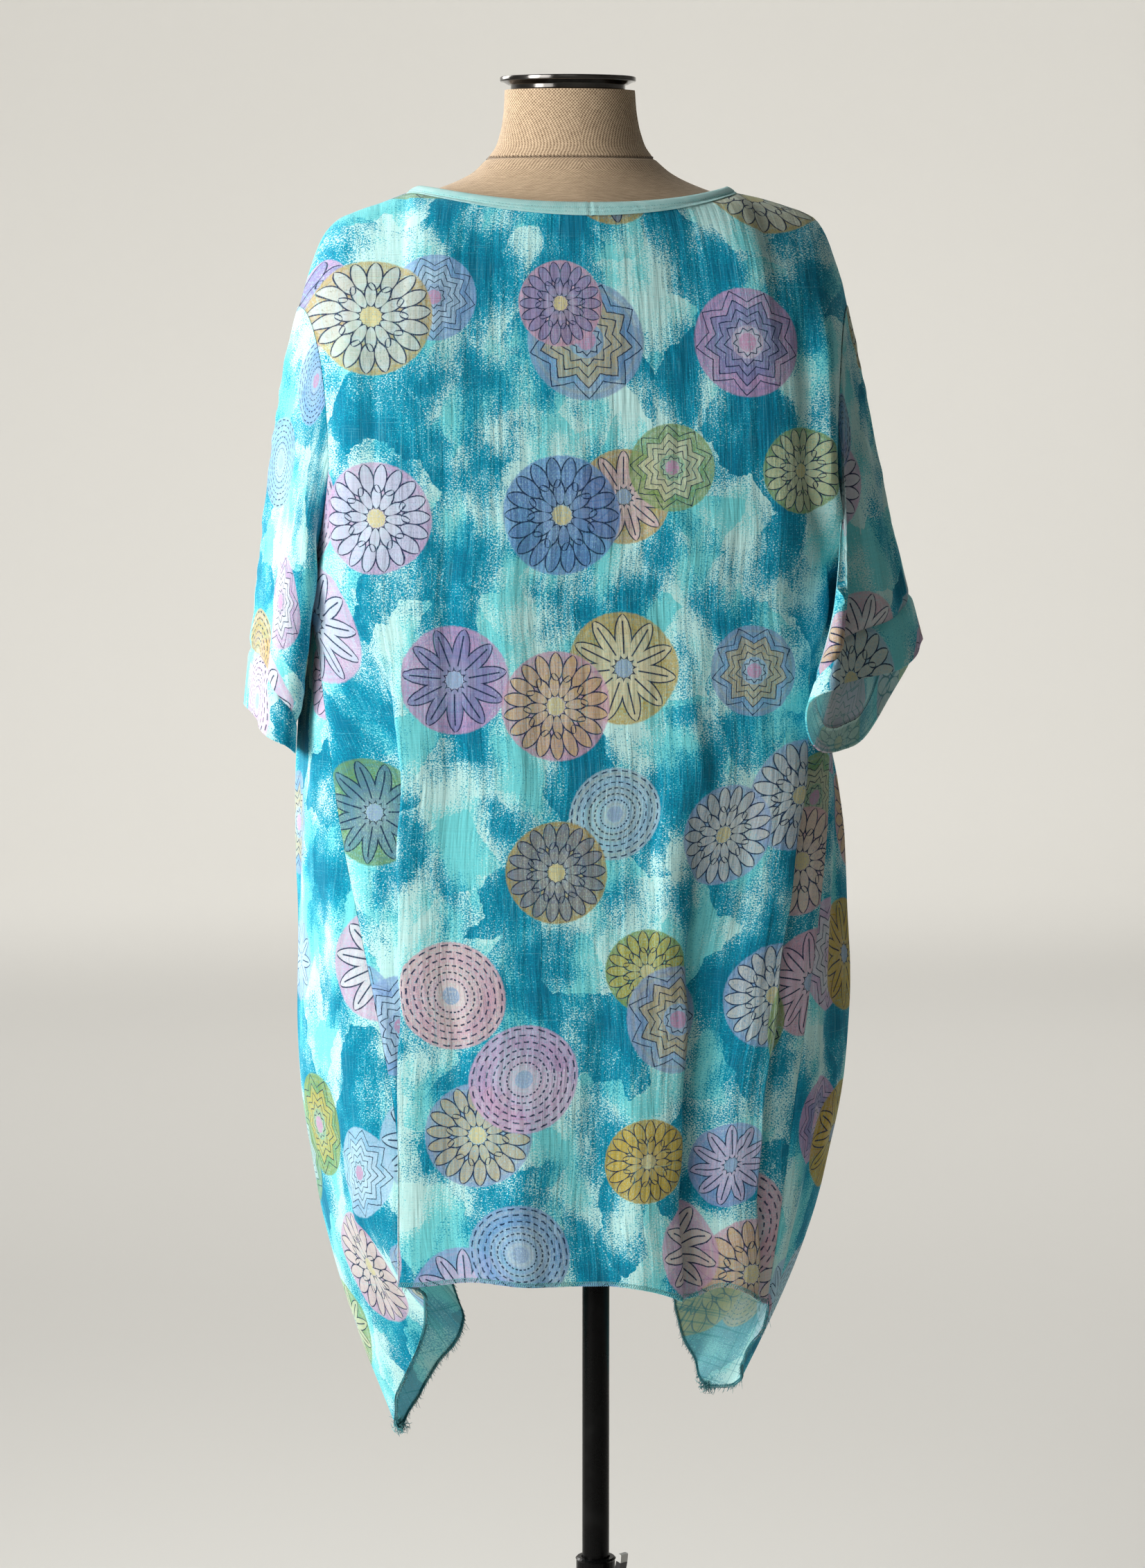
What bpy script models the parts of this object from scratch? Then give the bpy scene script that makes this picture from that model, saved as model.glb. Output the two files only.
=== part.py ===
"""A wide tunic top of thin slub cotton, worn by a limbless dress form on a pole stand.

Metres, +Z up. The origin is the middle of the stand's underside. The front faces -Y, so the
wearer's left is +X. The tunic is cut as a front, a back, two gusset side panels that end in
points, two short dropped sleeves and a neck binding. Each cloth piece is an open surface,
worked out from the tables below and thickened into a wall.
"""

import math
from collections import namedtuple

import bmesh
import bpy
import numpy as np
from mathutils import Matrix, Vector

# ---------------------------------------------------------------- driving dimensions
CLOTH = 0.0012  # wall of the cloth
SEAM_GAP = 0.0004  # between two pieces at a seam, and between any two pieces that touch
BODY_X = 0.018  # the form's middle plane stands this far to the left of the pole
BODY_Y = -0.020  # and its shoulder line this far in front of it

UNDERARM_Z = 1.180  # bottom of the armholes, top of the side panels
BLADE_Z = 1.300  # above this height the front and back curve over the shoulders
ARMHOLE_DEPTH = 0.070  # the armhole's reach behind and in front of the shoulder seam
UNDERARM_HALF = 0.020  # half of a side panel's width at its top
RIDGE_SLOPE = 0.0004  # the shoulder seam lies this far from the ridge plane, with its gap

NECK_AT = 0.174  # the neckline ends at this distance along the cloth
NECK_HALF_WIDTH = 0.150  # neckline of the cloth panels, where it crosses the shoulder seam
NECK_BACK = 0.083  # reach of the neckline behind the ridge
NECK_FRONT = 0.112
NECK_BACK_Z = 1.526
NECK_FRONT_Z = 1.428
BINDING_WIDTH = 0.012
BINDING_THICK = 0.0022
BINDING_START = 0.0011  # the binding starts this far inside the cloth's edge

LEFT, RIGHT = 1, -1
BACK, FRONT = 1, -1

# Height, half-widths to the left and right, reach of the back and front, and squareness
# (2 is an ellipse) of the hanging cloth, before its folds.
Body = namedtuple("Body", "z left right back front square")
BODY = (
    Body(1.300, 0.2400, 0.2370, 0.1180, 0.1400, 4.2),
    Body(1.240, 0.2410, 0.2350, 0.1215, 0.1500, 4.2),
    Body(1.180, 0.2415, 0.2330, 0.1240, 0.1530, 4.0),
    Body(1.100, 0.2450, 0.2320, 0.1265, 0.1530, 3.6),
    Body(1.030, 0.2475, 0.2350, 0.1280, 0.1520, 3.3),
    Body(0.960, 0.2490, 0.2430, 0.1290, 0.1510, 3.1),
    Body(0.880, 0.2490, 0.2460, 0.1300, 0.1500, 3.0),
    Body(0.780, 0.2480, 0.2470, 0.1300, 0.1490, 3.0),
    Body(0.720, 0.2430, 0.2410, 0.1290, 0.1480, 3.0),
    Body(0.660, 0.2330, 0.2290, 0.1270, 0.1460, 3.0),
    Body(0.600, 0.2220, 0.2160, 0.1250, 0.1440, 3.0),
    Body(0.550, 0.2090, 0.2030, 0.1230, 0.1420, 3.0),
    Body(0.500, 0.1940, 0.1880, 0.1200, 0.1390, 3.0),
    Body(0.450, 0.1760, 0.1720, 0.1150, 0.1330, 3.0),
    Body(0.400, 0.1580, 0.1560, 0.1100, 0.1270, 3.0),
)

# How far out the slanting seams of the side panels stand, at each height.
Seam = namedtuple("Seam", "z back_left back_right front_left front_right")
SEAMS = (
    Seam(1.120, 0.2400, 0.2290, 0.2400, 0.2290),
    Seam(1.050, 0.2340, 0.2240, 0.2330, 0.2230),
    Seam(0.975, 0.2250, 0.2190, 0.2190, 0.2170),
    Seam(0.894, 0.2110, 0.2090, 0.1990, 0.1980),
    Seam(0.793, 0.1930, 0.1940, 0.1740, 0.1740),
    Seam(0.725, 0.1820, 0.1840, 0.1600, 0.1600),
    Seam(0.650, 0.1770, 0.1760, 0.1460, 0.1470),
    Seam(0.570, 0.1750, 0.1660, 0.1330, 0.1350),
    Seam(0.500, 0.1600, 0.1560, 0.1230, 0.1250),
    Seam(0.400, 0.1300, 0.1300, 0.1050, 0.1050),
)

# Height of the hem of the front and back, by distance from the middle plane.
Hem = namedtuple("Hem", "out back_left back_right front_left front_right")
HEM = (
    Hem(0.000, 0.5680, 0.5680, 0.5760, 0.5760),
    Hem(0.060, 0.5690, 0.5610, 0.5750, 0.5740),
    Hem(0.110, 0.5740, 0.5620, 0.5720, 0.5700),
    Hem(0.160, 0.5690, 0.5420, 0.5660, 0.5600),
    Hem(0.240, 0.5680, 0.5220, 0.5600, 0.5500),
)

# Folds that lap over themselves. The cloth turns back under at `start` from the middle and
# hides `excess` of itself within `span` of cloth. `lift` parts the layers, outermost to
# innermost. The fold opens between the heights `top` and `full`.
Lap = namedtuple("Lap", "face side start span excess lift top full")
LAPS = (
    Lap(BACK, LEFT, 0.1740, 0.056, 0.074, 0.0085, 1.230, 0.960),
    Lap(BACK, RIGHT, 0.1740, 0.056, 0.070, 0.0085, 1.230, 0.980),
    Lap(BACK, RIGHT, 0.0730, 0.036, 0.044, 0.0080, 1.100, 0.640),
    Lap(FRONT, LEFT, 0.1300, 0.054, 0.070, 0.0085, 1.060, 0.820),
    Lap(FRONT, RIGHT, 0.1340, 0.054, 0.068, 0.0085, 1.060, 0.800),
)

# Soft hanging folds: distance out from the middle, width and height of the swell, and the
# heights between which it grows to its full size. A negative swell is a trough.
Swell = namedtuple("Swell", "face side at width height top full")
SWELLS = (
    Swell(BACK, LEFT, 0.135, 0.055, -0.0050, 1.250, 0.850),
    Swell(BACK, LEFT, 0.085, 0.060, 0.0045, 1.050, 0.650),
    Swell(BACK, RIGHT, 0.035, 0.050, 0.0060, 1.000, 0.650),
    Swell(BACK, RIGHT, 0.125, 0.060, -0.0080, 1.150, 0.700),
    Swell(FRONT, LEFT, 0.045, 0.060, 0.0080, 1.150, 0.650),
    Swell(FRONT, LEFT, 0.095, 0.050, -0.0060, 1.050, 0.700),
    Swell(FRONT, RIGHT, 0.050, 0.060, 0.0060, 1.050, 0.700),
    Swell(FRONT, RIGHT, 0.100, 0.055, -0.0070, 1.100, 0.650),
)

# Free hem of a side panel: share of the way from its back seam to its front seam, and the
# place of the edge there. The ends are the seams' own lower ends.
Point = namedtuple("Point", "share out back z")
POINTED_HEM = {
    LEFT: (
        Point(0.10, 0.150, 0.086, 0.556),
        Point(0.20, 0.152, 0.048, 0.512),
        Point(0.32, 0.166, 0.020, 0.452),
        Point(0.44, 0.156, -0.010, 0.413),
        Point(0.58, 0.119, -0.058, 0.455),
        Point(0.72, 0.096, -0.088, 0.482),
        Point(0.86, 0.090, -0.112, 0.515),
    ),
    RIGHT: (
        Point(0.10, 0.158, 0.082, 0.500),
        Point(0.22, 0.156, 0.036, 0.464),
        Point(0.34, 0.150, 0.000, 0.441),
        Point(0.46, 0.135, -0.045, 0.431),
        Point(0.58, 0.131, -0.078, 0.452),
        Point(0.72, 0.127, -0.104, 0.482),
        Point(0.86, 0.122, -0.122, 0.512),
    ),
}
POINT_TURN_Z = 0.640  # below this height a side panel's lower part turns to its free hem
POINT_CURL = 1.5  # and how late it does so
HEM_TRIM = 0.0011  # the seam's extra gap at the hem, where the two panels meet at an angle

# Soft folds of the side panels, by share across them.
Ripple = namedtuple("Ripple", "side share width height top full")
RIPPLES = (
    Ripple(LEFT, 0.22, 0.14, -0.0060, 1.050, 0.760),
    Ripple(LEFT, 0.45, 0.16, 0.0050, 1.000, 0.700),
    Ripple(LEFT, 0.72, 0.15, -0.0070, 1.050, 0.760),
    Ripple(RIGHT, 0.16, 0.12, -0.0080, 1.050, 0.900),
    Ripple(RIGHT, 0.36, 0.12, 0.0070, 1.080, 1.000),
    Ripple(RIGHT, 0.70, 0.16, -0.0060, 1.020, 0.800),
)

# A sleeve's open end is a flattened loop. `out`, `back` and `z` place its middle. Its short
# axis has the half size `thin` and turns by `yaw` degrees from pointing outwards to pointing
# back; its long axis has the half size `deep`. `twist` turns the cloth along the loop.
# `raise_thin`, `raise_deep` and `raise_ends` tilt and bend its edge. `bow_out` and `bow_in`
# swell the sleeve's outer and inner sides halfway down.
Opening = namedtuple(
    "Opening", "out back z thin deep yaw twist raise_thin raise_deep raise_ends bow_out bow_in"
)
OPENINGS = {
    LEFT: Opening(0.2755, -0.030, 1.062, 0.0175, 0.090, 0, 0, 0.018, -0.006, 0.0, 0.006, 0.006),
    RIGHT: Opening(0.2540, 0.081, 1.077, 0.0165, 0.092, 46, -38, 0.034, -0.020, 0.034, 0.0, 0.021),
}
# Long folds of the sleeves: turn round the open end in degrees (0 outermost, 90 at the back),
# width in degrees, and height at the open end.
Pleat = namedtuple("Pleat", "side turn width height")
PLEATS = (
    Pleat(LEFT, 62, 40, 0.0050),
    Pleat(LEFT, 312, 46, -0.0040),
    Pleat(RIGHT, 62, 34, 0.0070),
    Pleat(RIGHT, 20, 36, -0.0110),
    Pleat(RIGHT, 340, 36, 0.0060),
    Pleat(RIGHT, 215, 44, 0.0050),
)
CUFF_LEVEL = 0.855  # share of the sleeve's length above its cuff
CUFF_PROUD = 0.0016  # the cuff stands this far outside the sleeve's own surface
SLEEVE_STEP = 0.0018  # the sleeve starts this far outside the armhole's edge
UNDER_SWEEP = 0.12  # share of the armhole's depth at which the side panel's top begins

# Height of the cloth's top edge on each shoulder, by distance from the middle plane.
Shoulder = namedtuple("Shoulder", "out left right")
SHOULDER = (
    Shoulder(0.150, 1.5430, 1.5440),
    Shoulder(0.172, 1.5345, 1.5395),
    Shoulder(0.198, 1.5255, 1.5320),
    Shoulder(0.214, 1.5175, 1.5265),
    Shoulder(0.226, 1.5030, 1.5190),
    Shoulder(0.236, 1.4800, 1.5030),
    Shoulder(0.243, 1.4600, 1.4850),
    Shoulder(0.249, 1.4420, 1.4680),
    Shoulder(0.256, 1.4210, 1.4420),
)
SHOULDER_END = {LEFT: 0.249, RIGHT: 0.256}

# The dress form, bottom to top: height, half-width, reach behind and in front of the ridge
# plane, and squareness.
Form = namedtuple("Form", "z half back front square")
FORM = (
    Form(0.880, 0.1600, 0.1000, 0.1000, 2.3),
    Form(0.920, 0.1690, 0.1100, 0.1060, 2.3),
    Form(0.970, 0.1640, 0.1060, 0.1040, 2.3),
    Form(1.040, 0.1370, 0.0860, 0.0920, 2.3),
    Form(1.090, 0.1240, 0.0760, 0.0880, 2.3),
    Form(1.150, 0.1330, 0.0800, 0.1000, 2.3),
    Form(1.220, 0.1520, 0.0890, 0.1260, 2.4),
    Form(1.270, 0.1610, 0.0940, 0.1330, 2.4),
    Form(1.330, 0.1700, 0.0990, 0.1200, 2.4),
    Form(1.390, 0.1860, 0.1000, 0.1050, 2.4),
    Form(1.440, 0.2030, 0.0950, 0.0930, 2.4),
    Form(1.475, 0.2110, 0.0880, 0.0820, 2.2),
    Form(1.502, 0.2110, 0.0800, 0.0720, 2.0),
    Form(1.5165, 0.2040, 0.0740, 0.0660, 1.7),
    Form(1.5270, 0.1880, 0.0690, 0.0640, 1.6),
    Form(1.5360, 0.1620, 0.0640, 0.0640, 1.6),
    Form(1.5438, 0.1340, 0.0600, 0.0660, 1.7),
    Form(1.5510, 0.1130, 0.0560, 0.0690, 1.8),
    Form(1.560, 0.0935, 0.0520, 0.0710, 1.9),
    Form(1.571, 0.0800, 0.0480, 0.0715, 2.0),
    Form(1.583, 0.0695, 0.0430, 0.0710, 2.0),
    Form(1.597, 0.0640, 0.0390, 0.0705, 2.0),
    Form(1.615, 0.0605, 0.0340, 0.0710, 2.0),
    Form(1.636, 0.0590, 0.0310, 0.0740, 2.0),
)

CAP_RADIUS = 0.0617
CAP_THICK = 0.0090
CAP_LIFT = 0.0030  # a short neck of the cap stands between it and the form
CAP_STEM_RADIUS = 0.040

POLE_RADIUS = 0.0125
POLE_BOTTOM_Z = 0.110
POLE_IN_FORM = 0.060  # depth of the form's socket
FLANGE_RADIUS = 0.045
FLANGE_THICK = 0.006
TUBE_RADIUS = 0.0165
TUBE_BORE = 0.0133
TUBE_TOP_Z = 0.290
COLLAR_RADIUS = 0.0180
COLLAR_HEIGHT = 0.034
COLLAR_RIM = 0.003
BASE_RADIUS = 0.180
BASE_THICK = 0.010
BOSS_RADIUS = 0.034
BOSS_HEIGHT = 0.030

CLAMP_TURN = 125.0  # way that the clamp faces, degrees about +Z from +X
CLAMP_DROP = 0.024  # the lever's pin below the tube's rim
CLAMP_REACH = 0.0270  # from the pole's axis to the pin
BRACKET_WIDTH = 0.0180
BRACKET_HEIGHT = 0.0150
BRACKET_END = 0.0055  # the bracket's ears reach this far past the pin
SLOT_WIDTH = 0.0100
SLOT_START = 0.0215
PIN_RADIUS = 0.0022
PIN_PLAY = 0.0002
PIN_OVERHANG = 0.0010  # at each end
LEVER_LENGTH = 0.034
LEVER_LEAN = 76.0  # the lever's rise above level, degrees
LEVER_HUB_RADIUS = 0.0048
LEVER_HALF_THICK = 0.0036
LEVER_SIDE_PLAY = 0.0004
LEVER_TAPER = 0.0008
LEVER_TIP_LENGTH = 0.008
LEVER_TIP_HALF_THICK = 0.0028
LEVER_TIP_TAPER = 0.0010

# ---------------------------------------------------------------- rows and columns of the cloth
PLAIN_STEP = 0.026  # column spacing on plain cloth
EDGE_COLUMNS = 5  # columns from the last fold to the seam
LOW_ROWS = (0, 0.05, 0.11, 0.18, 0.27, 0.37, 0.48, 0.60, 0.73, 0.86, 1.0)
MIDDLE_ROWS = (0.34, 0.67, 1.0)
YOKE_ROWS = (0.17, 0.34, 0.50, 0.64, 0.76, 0.88, 1.0)
SIDE_COLUMNS = 15
SLEEVE_COLUMNS = 28
SLEEVE_LEVELS = (0, 0.14, 0.28, 0.43, 0.58, 0.72, CUFF_LEVEL)
CUFF_LEVELS = (CUFF_LEVEL + 0.0006, 0.93, 1.0)


# ---------------------------------------------------------------- small tools
def column(rows, name, at, key="z"):
    """A table's named column, read smoothly at a value of its key column."""
    ordered = sorted(rows, key=lambda row: getattr(row, key))
    xs = np.array([getattr(row, key) for row in ordered])
    ys = np.array([getattr(row, name) for row in ordered])
    slopes = np.gradient(ys, xs)
    at = min(max(at, xs[0]), xs[-1])
    i = min(int(np.searchsorted(xs, at, side="right")) - 1, len(xs) - 2)
    gap = xs[i + 1] - xs[i]
    t = (at - xs[i]) / gap
    return float(
        (2 * t**3 - 3 * t**2 + 1) * ys[i]
        + (t**3 - 2 * t**2 + t) * gap * slopes[i]
        + (3 * t**2 - 2 * t**3) * ys[i + 1]
        + (t**3 - t**2) * gap * slopes[i + 1]
    )


def ease(t):
    """0 below 0, 1 above 1, and a soft step between."""
    t = min(max(t, 0.0), 1.0)
    return t * t * t * (t * (6 * t - 15) + 10)


def hill(t):
    """A soft hill, 1 at t = 0 and 0 beyond t = -1 and t = 1."""
    return ease(1 - abs(t))


def grown(fold, z):
    """How far a fold has opened at a height, from 0 to 1."""
    return ease((fold.top - z) / (fold.top - fold.full))


def side_name(side):
    return "left" if side == LEFT else "right"


def face_name(face):
    return "back" if face == BACK else "front"


# ---------------------------------------------------------------- the hanging body
def quarter(z, side, face, steps=72):
    """A quarter of the body's section, from the middle of a face to the side: lengths along
    it, outward distances and depths."""
    half = column(BODY, side_name(side), z)
    reach = column(BODY, face_name(face), z)
    power = 2 / column(BODY, "square", z)
    angle = np.linspace(0, math.pi / 2, steps)
    out = half * np.sin(angle) ** power
    deep = reach * np.cos(angle) ** power
    along = np.concatenate([[0], np.cumsum(np.hypot(np.diff(out), np.diff(deep)))])
    return along, out, deep


def on_quarter(z, side, face, along, lift):
    """The point of the body's section at a length from the middle, moved out by `lift`."""
    lengths, out, deep = quarter(z, side, face)
    step = 0.004
    before, after = along - step, along + step
    x = np.interp(along, lengths, out)
    y = np.interp(along, lengths, deep)
    dx = np.interp(after, lengths, out) - np.interp(max(before, 0), lengths, out)
    dy = np.interp(after, lengths, deep) - np.interp(max(before, 0), lengths, deep)
    size = math.hypot(dx, dy)
    return (
        side * (x - lift * dy / size),
        face * (y + lift * dx / size),
        z,
    )


def hem_height(side, face, out):
    return column(HEM, f"{face_name(face)}_{side_name(side)}", out, key="out")


def seam_length(z, side, face):
    """Length from the middle of a face to its side seam, or to its armhole."""
    lengths, out, deep = quarter(z, side, face)
    if z >= UNDERARM_Z:
        rise = min((z - UNDERARM_Z) / (BLADE_Z - UNDERARM_Z), 1.0)
        widening = math.sin(rise * math.pi / 2)
        reach = UNDERARM_HALF + (ARMHOLE_DEPTH - UNDERARM_HALF) * widening
        return float(np.interp(-reach, -deep, lengths))
    name = f"{face_name(face)}_{side_name(side)}"
    slanted = float(np.interp(column(SEAMS, name, z), out, lengths))
    at_top = float(np.interp(-UNDERARM_HALF, -deep, lengths))
    top_z = SEAMS[0].z
    return slanted + (at_top - slanted) * ease((z - top_z) / (UNDERARM_Z - top_z))


def lap_shift(face, side, cloth, z):
    """What the folds do at a distance along the cloth: the cloth that they hide so far, and
    how much they lift it."""
    hidden = lift = 0.0
    for lap in LAPS:
        if (lap.face, lap.side) != (face, side):
            continue
        open_share = grown(lap, z)
        t = (cloth - lap.start) / lap.span
        hidden += lap.excess * open_share * ease(t)
        over = ease(t + 1) * (1 - ease((t - 0.1) / 0.5))
        under = ease((t - 0.4) / 0.5) * (1 - ease((t - 0.9) / 1.3))
        lift += lap.lift * open_share * (over - under) / 2
    for swell in SWELLS:
        if (swell.face, swell.side) == (face, side):
            lift += swell.height * grown(swell, z) * hill((cloth - swell.at) / swell.width)
    return hidden, lift


def laps_end(face, side):
    """Cloth distance at which the last fold of a half panel ends."""
    return max(lap.start + lap.span for lap in LAPS if (lap.face, lap.side) == (face, side))


def half_columns(face, side):
    """Cloth distances of a half panel's columns up to the end of its last fold: wide apart
    on the plain cloth, close together where a fold turns or the neckline ends."""
    stops = [0.0]
    turns = (0.10, 0.20, 0.30, 0.45, 0.60, 0.72, 0.84, 1.0)
    for lap in sorted(LAPS, key=lambda one: one.start):
        if (lap.face, lap.side) != (face, side):
            continue
        plain = lap.start - stops[-1]
        count = max(round(plain / PLAIN_STEP), 1)
        first = stops[-1]
        stops += [first + plain * (i + 1) / count for i in range(count)]
        stops += [lap.start + lap.span * turn for turn in turns]
    if max(stop for stop in stops if stop < NECK_AT - 0.001) < NECK_AT - 0.02:
        stops += [NECK_AT - 0.007]
    nearest = min(stops, key=lambda stop: abs(stop - NECK_AT))
    return sorted(NECK_AT if stop == nearest else stop for stop in stops)


def half_panel_point(face, side, place, z):
    """A point of a front or back. `place` is a cloth distance from the middle or, past the
    last fold, (share of the way to the seam,)."""
    if isinstance(place, tuple):
        start = laps_end(face, side)
        hidden, lift = lap_shift(face, side, start, z)
        first = start - hidden
        last = seam_length(z, side, face) - SEAM_GAP / 2
        along = first + (last - first) * place[0]
        _, lift = lap_shift(face, side, start + (last - first) * place[0], z)
        lift *= 1 - ease((place[0] - 0.4) / 0.6)
    else:
        hidden, lift = lap_shift(face, side, place, z)
        along = place - hidden
    return on_quarter(z, side, face, along, lift)


def neckline(face, side, out):
    """Where the cloth's neck edge lies, at a distance from the middle plane."""
    share = min(out / NECK_HALF_WIDTH, 1.0)
    reach = NECK_BACK if face == BACK else NECK_FRONT
    low = NECK_BACK_Z if face == BACK else NECK_FRONT_Z
    power = 2.4 if face == BACK else 2.6
    y = face * max(reach * math.sqrt(max(1 - share**2.2, 0)), RIDGE_SLOPE)
    return y, low + (getattr(SHOULDER[0], side_name(side)) - low) * share**power


def top_point(face, side, along, end):
    """A point of a half panel's upper edge, by distance along the cloth, of which the whole
    half panel measures `end`."""
    if along < NECK_AT:
        out = NECK_HALF_WIDTH * along / NECK_AT
        y, z = neckline(face, side, out)
        return side * out, y, z
    share = (along - NECK_AT) / (end - NECK_AT)
    out = NECK_HALF_WIDTH + (SHOULDER_END[side] - NECK_HALF_WIDTH) * share
    return side * out, face * RIDGE_SLOPE, column(SHOULDER, side_name(side), out, key="out")


def yoke_point(face, side, place, turn):
    """A point above the shoulder blades. `turn` runs from 0 at BLADE_Z to 1 at the top."""
    x, y, z = half_panel_point(face, side, place, BLADE_Z)
    end = seam_length(BLADE_Z, side, face) - SEAM_GAP / 2
    along = place
    if isinstance(place, tuple):
        along = laps_end(face, side) + (end - laps_end(face, side)) * place[0]
    top_x, top_y, top_z = top_point(face, side, along, end)
    angle = turn * math.pi / 2
    flat = 1 - ease((abs(top_x) - 0.06) / 0.10)  # towards the neck the cloth rises straighter
    drop = math.cos(angle) * (1 - flat) + (1 - math.sin(angle) ** 1.5) * flat
    return (
        top_x + (x - top_x) * math.cos(angle),
        top_y + (y - top_y) * drop,
        z + (top_z - z) * math.sin(angle),
    )


def panel_grid(face):
    """The front's or the back's points, a list of rows from the hem up."""
    places = []
    for side in (RIGHT, LEFT):
        half = [(side, stop) for stop in half_columns(face, side)]
        half += [(side, ((i + 1) / EDGE_COLUMNS,)) for i in range(EDGE_COLUMNS)]
        places += half[:0:-1] if side == RIGHT else half
    rows = []
    for level in LOW_ROWS:
        row = []
        for side, place in places:
            out = abs(half_panel_point(face, side, place, 0.57)[0])
            low = hem_height(side, face, out)
            z = low + (UNDERARM_Z - low) * level
            row.append(half_panel_point(face, side, place, z))
        rows.append(row)
    for level in MIDDLE_ROWS:
        z = UNDERARM_Z + (BLADE_Z - UNDERARM_Z) * level
        rows.append([half_panel_point(face, side, place, z) for side, place in places])
    for turn in YOKE_ROWS:
        rows.append([yoke_point(face, side, place, turn) for side, place in places])
    return rows


# ---------------------------------------------------------------- side panels
def side_length(z, side):
    """Lengths of a side panel's section behind and in front of the side."""
    back, front = (
        quarter(z, side, face)[0][-1] - seam_length(min(z, UNDERARM_Z - 1e-6), side, face)
        for face in (BACK, FRONT)
    )
    return back, front


def side_hull_point(z, side, share, lift, trim=0.0):
    """A point of a side panel on the body's section, its edges trimmed by `trim` more."""
    back, front = side_length(z, side)
    trimmed = back + front - SEAM_GAP - 2 * trim
    gone = SEAM_GAP / 2 + trim + share * trimmed
    if gone <= back:
        return on_quarter(z, side, BACK, quarter(z, side, BACK)[0][-1] - (back - gone), lift)
    return on_quarter(z, side, FRONT, quarter(z, side, FRONT)[0][-1] - (gone - back), lift)


def seam_end_z(side, face):
    """Height of the lower end of a side seam."""
    start = half_panel_point(face, side, (1.0,), 0.57)
    return hem_height(side, face, abs(start[0]))


def pointed_hem(side, share):
    """A side panel's free hem: outward, depth and height, by share across it."""
    ends = []
    for end_share, face in ((0.0, BACK), (1.0, FRONT)):
        z = seam_end_z(side, face)
        x, y, _ = side_hull_point(z, side, end_share, 0.0)
        ends.append(Point(end_share, abs(x), y, z))
    rows = (ends[0], *POINTED_HEM[side], ends[1])
    return tuple(column(rows, name, share, key="share") for name in ("out", "back", "z"))


def side_panel_point(side, share, level):
    """A point of a side panel, by share across it and level from hem (0) to top (1)."""
    hem_out, hem_back, hem_z = pointed_hem(side, share)
    z = hem_z + (UNDERARM_Z - hem_z) * level
    lift = sum(
        ripple.height * grown(ripple, z) * hill((share - ripple.share) / ripple.width)
        for ripple in RIPPLES
        if ripple.side == side
    )
    turned = max((POINT_TURN_Z - z) / (POINT_TURN_Z - hem_z), 0.0) ** POINT_CURL
    x, y, _ = side_hull_point(z, side, share, lift, HEM_TRIM * ease(2 * turned))
    end_x, end_y, _ = side_hull_point(hem_z, side, share, 0.0)
    return (
        x + (side * hem_out - end_x) * turned,
        y + (hem_back - end_y) * turned,
        z,
    )


def side_panel_grid(side):
    shares = [i / (SIDE_COLUMNS - 1) for i in range(SIDE_COLUMNS)]
    return [[side_panel_point(side, share, level) for share in shares] for level in LOW_ROWS]


# ---------------------------------------------------------------- sleeves
def armhole_point(side, turn):
    """The armhole's loop. `turn` is 0 at the shoulder, 90 at the back and 180 underneath."""
    angle = math.radians(turn % 360)
    face = BACK if math.sin(angle) >= 0 else FRONT
    if math.cos(angle) >= 0:
        level = 1 - abs(math.asin(math.sin(angle))) / (math.pi / 2)
        x, y, z = yoke_point(face, side, (1.0,), level)
        return x, 0.0 if turn % 360 == 0 else y, z
    down = -math.cos(angle)
    z = BLADE_Z - (BLADE_Z - UNDERARM_Z) * down
    sweep = abs(math.sin(angle))
    if sweep < UNDER_SWEEP:
        share = 0.5 - 0.5 * math.copysign(sweep / UNDER_SWEEP, math.sin(angle))
        x, y, z = side_hull_point(UNDERARM_Z, side, share, 0.0)
        return x, y, z
    length = seam_length(z, side, face)
    return on_quarter(z, side, face, length, 0.0)


def opening_point(side, turn):
    """The sleeve's open end."""
    end = OPENINGS[side]
    turn = (turn + end.twist) % 360
    angle = math.radians(turn)
    swell = sum(
        pleat.height * hill(((turn - pleat.turn + 180) % 360 - 180) / pleat.width)
        for pleat in PLEATS
        if pleat.side == side
    )
    cos, sin = math.cos(angle), math.sin(angle)
    thin = end.thin * math.copysign(abs(cos) ** 0.90, cos) + swell * math.copysign(1, cos)
    deep = end.deep * math.copysign(abs(sin) ** 0.75, sin)
    yaw = math.radians(end.yaw)
    rise = end.raise_thin * cos + end.raise_deep * sin + end.raise_ends * sin * sin
    return (
        side * (end.out + thin * math.cos(yaw) - deep * math.sin(yaw)),
        end.back + thin * math.sin(yaw) + deep * math.cos(yaw),
        end.z + rise,
    )


def sleeve_point(side, turn, level):
    """A point of a sleeve, from the armhole (0) to its open end (1)."""
    start = Vector(armhole_point(side, turn)) + Vector((side * SLEEVE_STEP, 0, 0))
    point = start.lerp(Vector(opening_point(side, turn)), level)
    end = OPENINGS[side]
    here = math.cos(math.radians(turn + end.twist * level))
    bow = end.bow_out * (1 + here) / 2 + end.bow_in * (1 - here) / 2
    yaw = math.radians(end.yaw)
    bow *= math.sin(math.pi * level**0.7)
    return point.x + side * bow * math.cos(yaw), point.y + bow * math.sin(yaw), point.z


def cuff_point(side, turn, level):
    """A point of a cuff: the sleeve's own point moved out along its surface's normal."""
    steps = [(turn - 5, level), (turn + 5, level), (turn, level - 0.01), (turn, level + 0.01)]
    before, after, above, below = (Vector(sleeve_point(side, *step)) for step in steps)
    outward = (below - above).cross(after - before).normalized() * side
    return tuple(Vector(sleeve_point(side, turn, level)) + outward * CUFF_PROUD)


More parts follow.
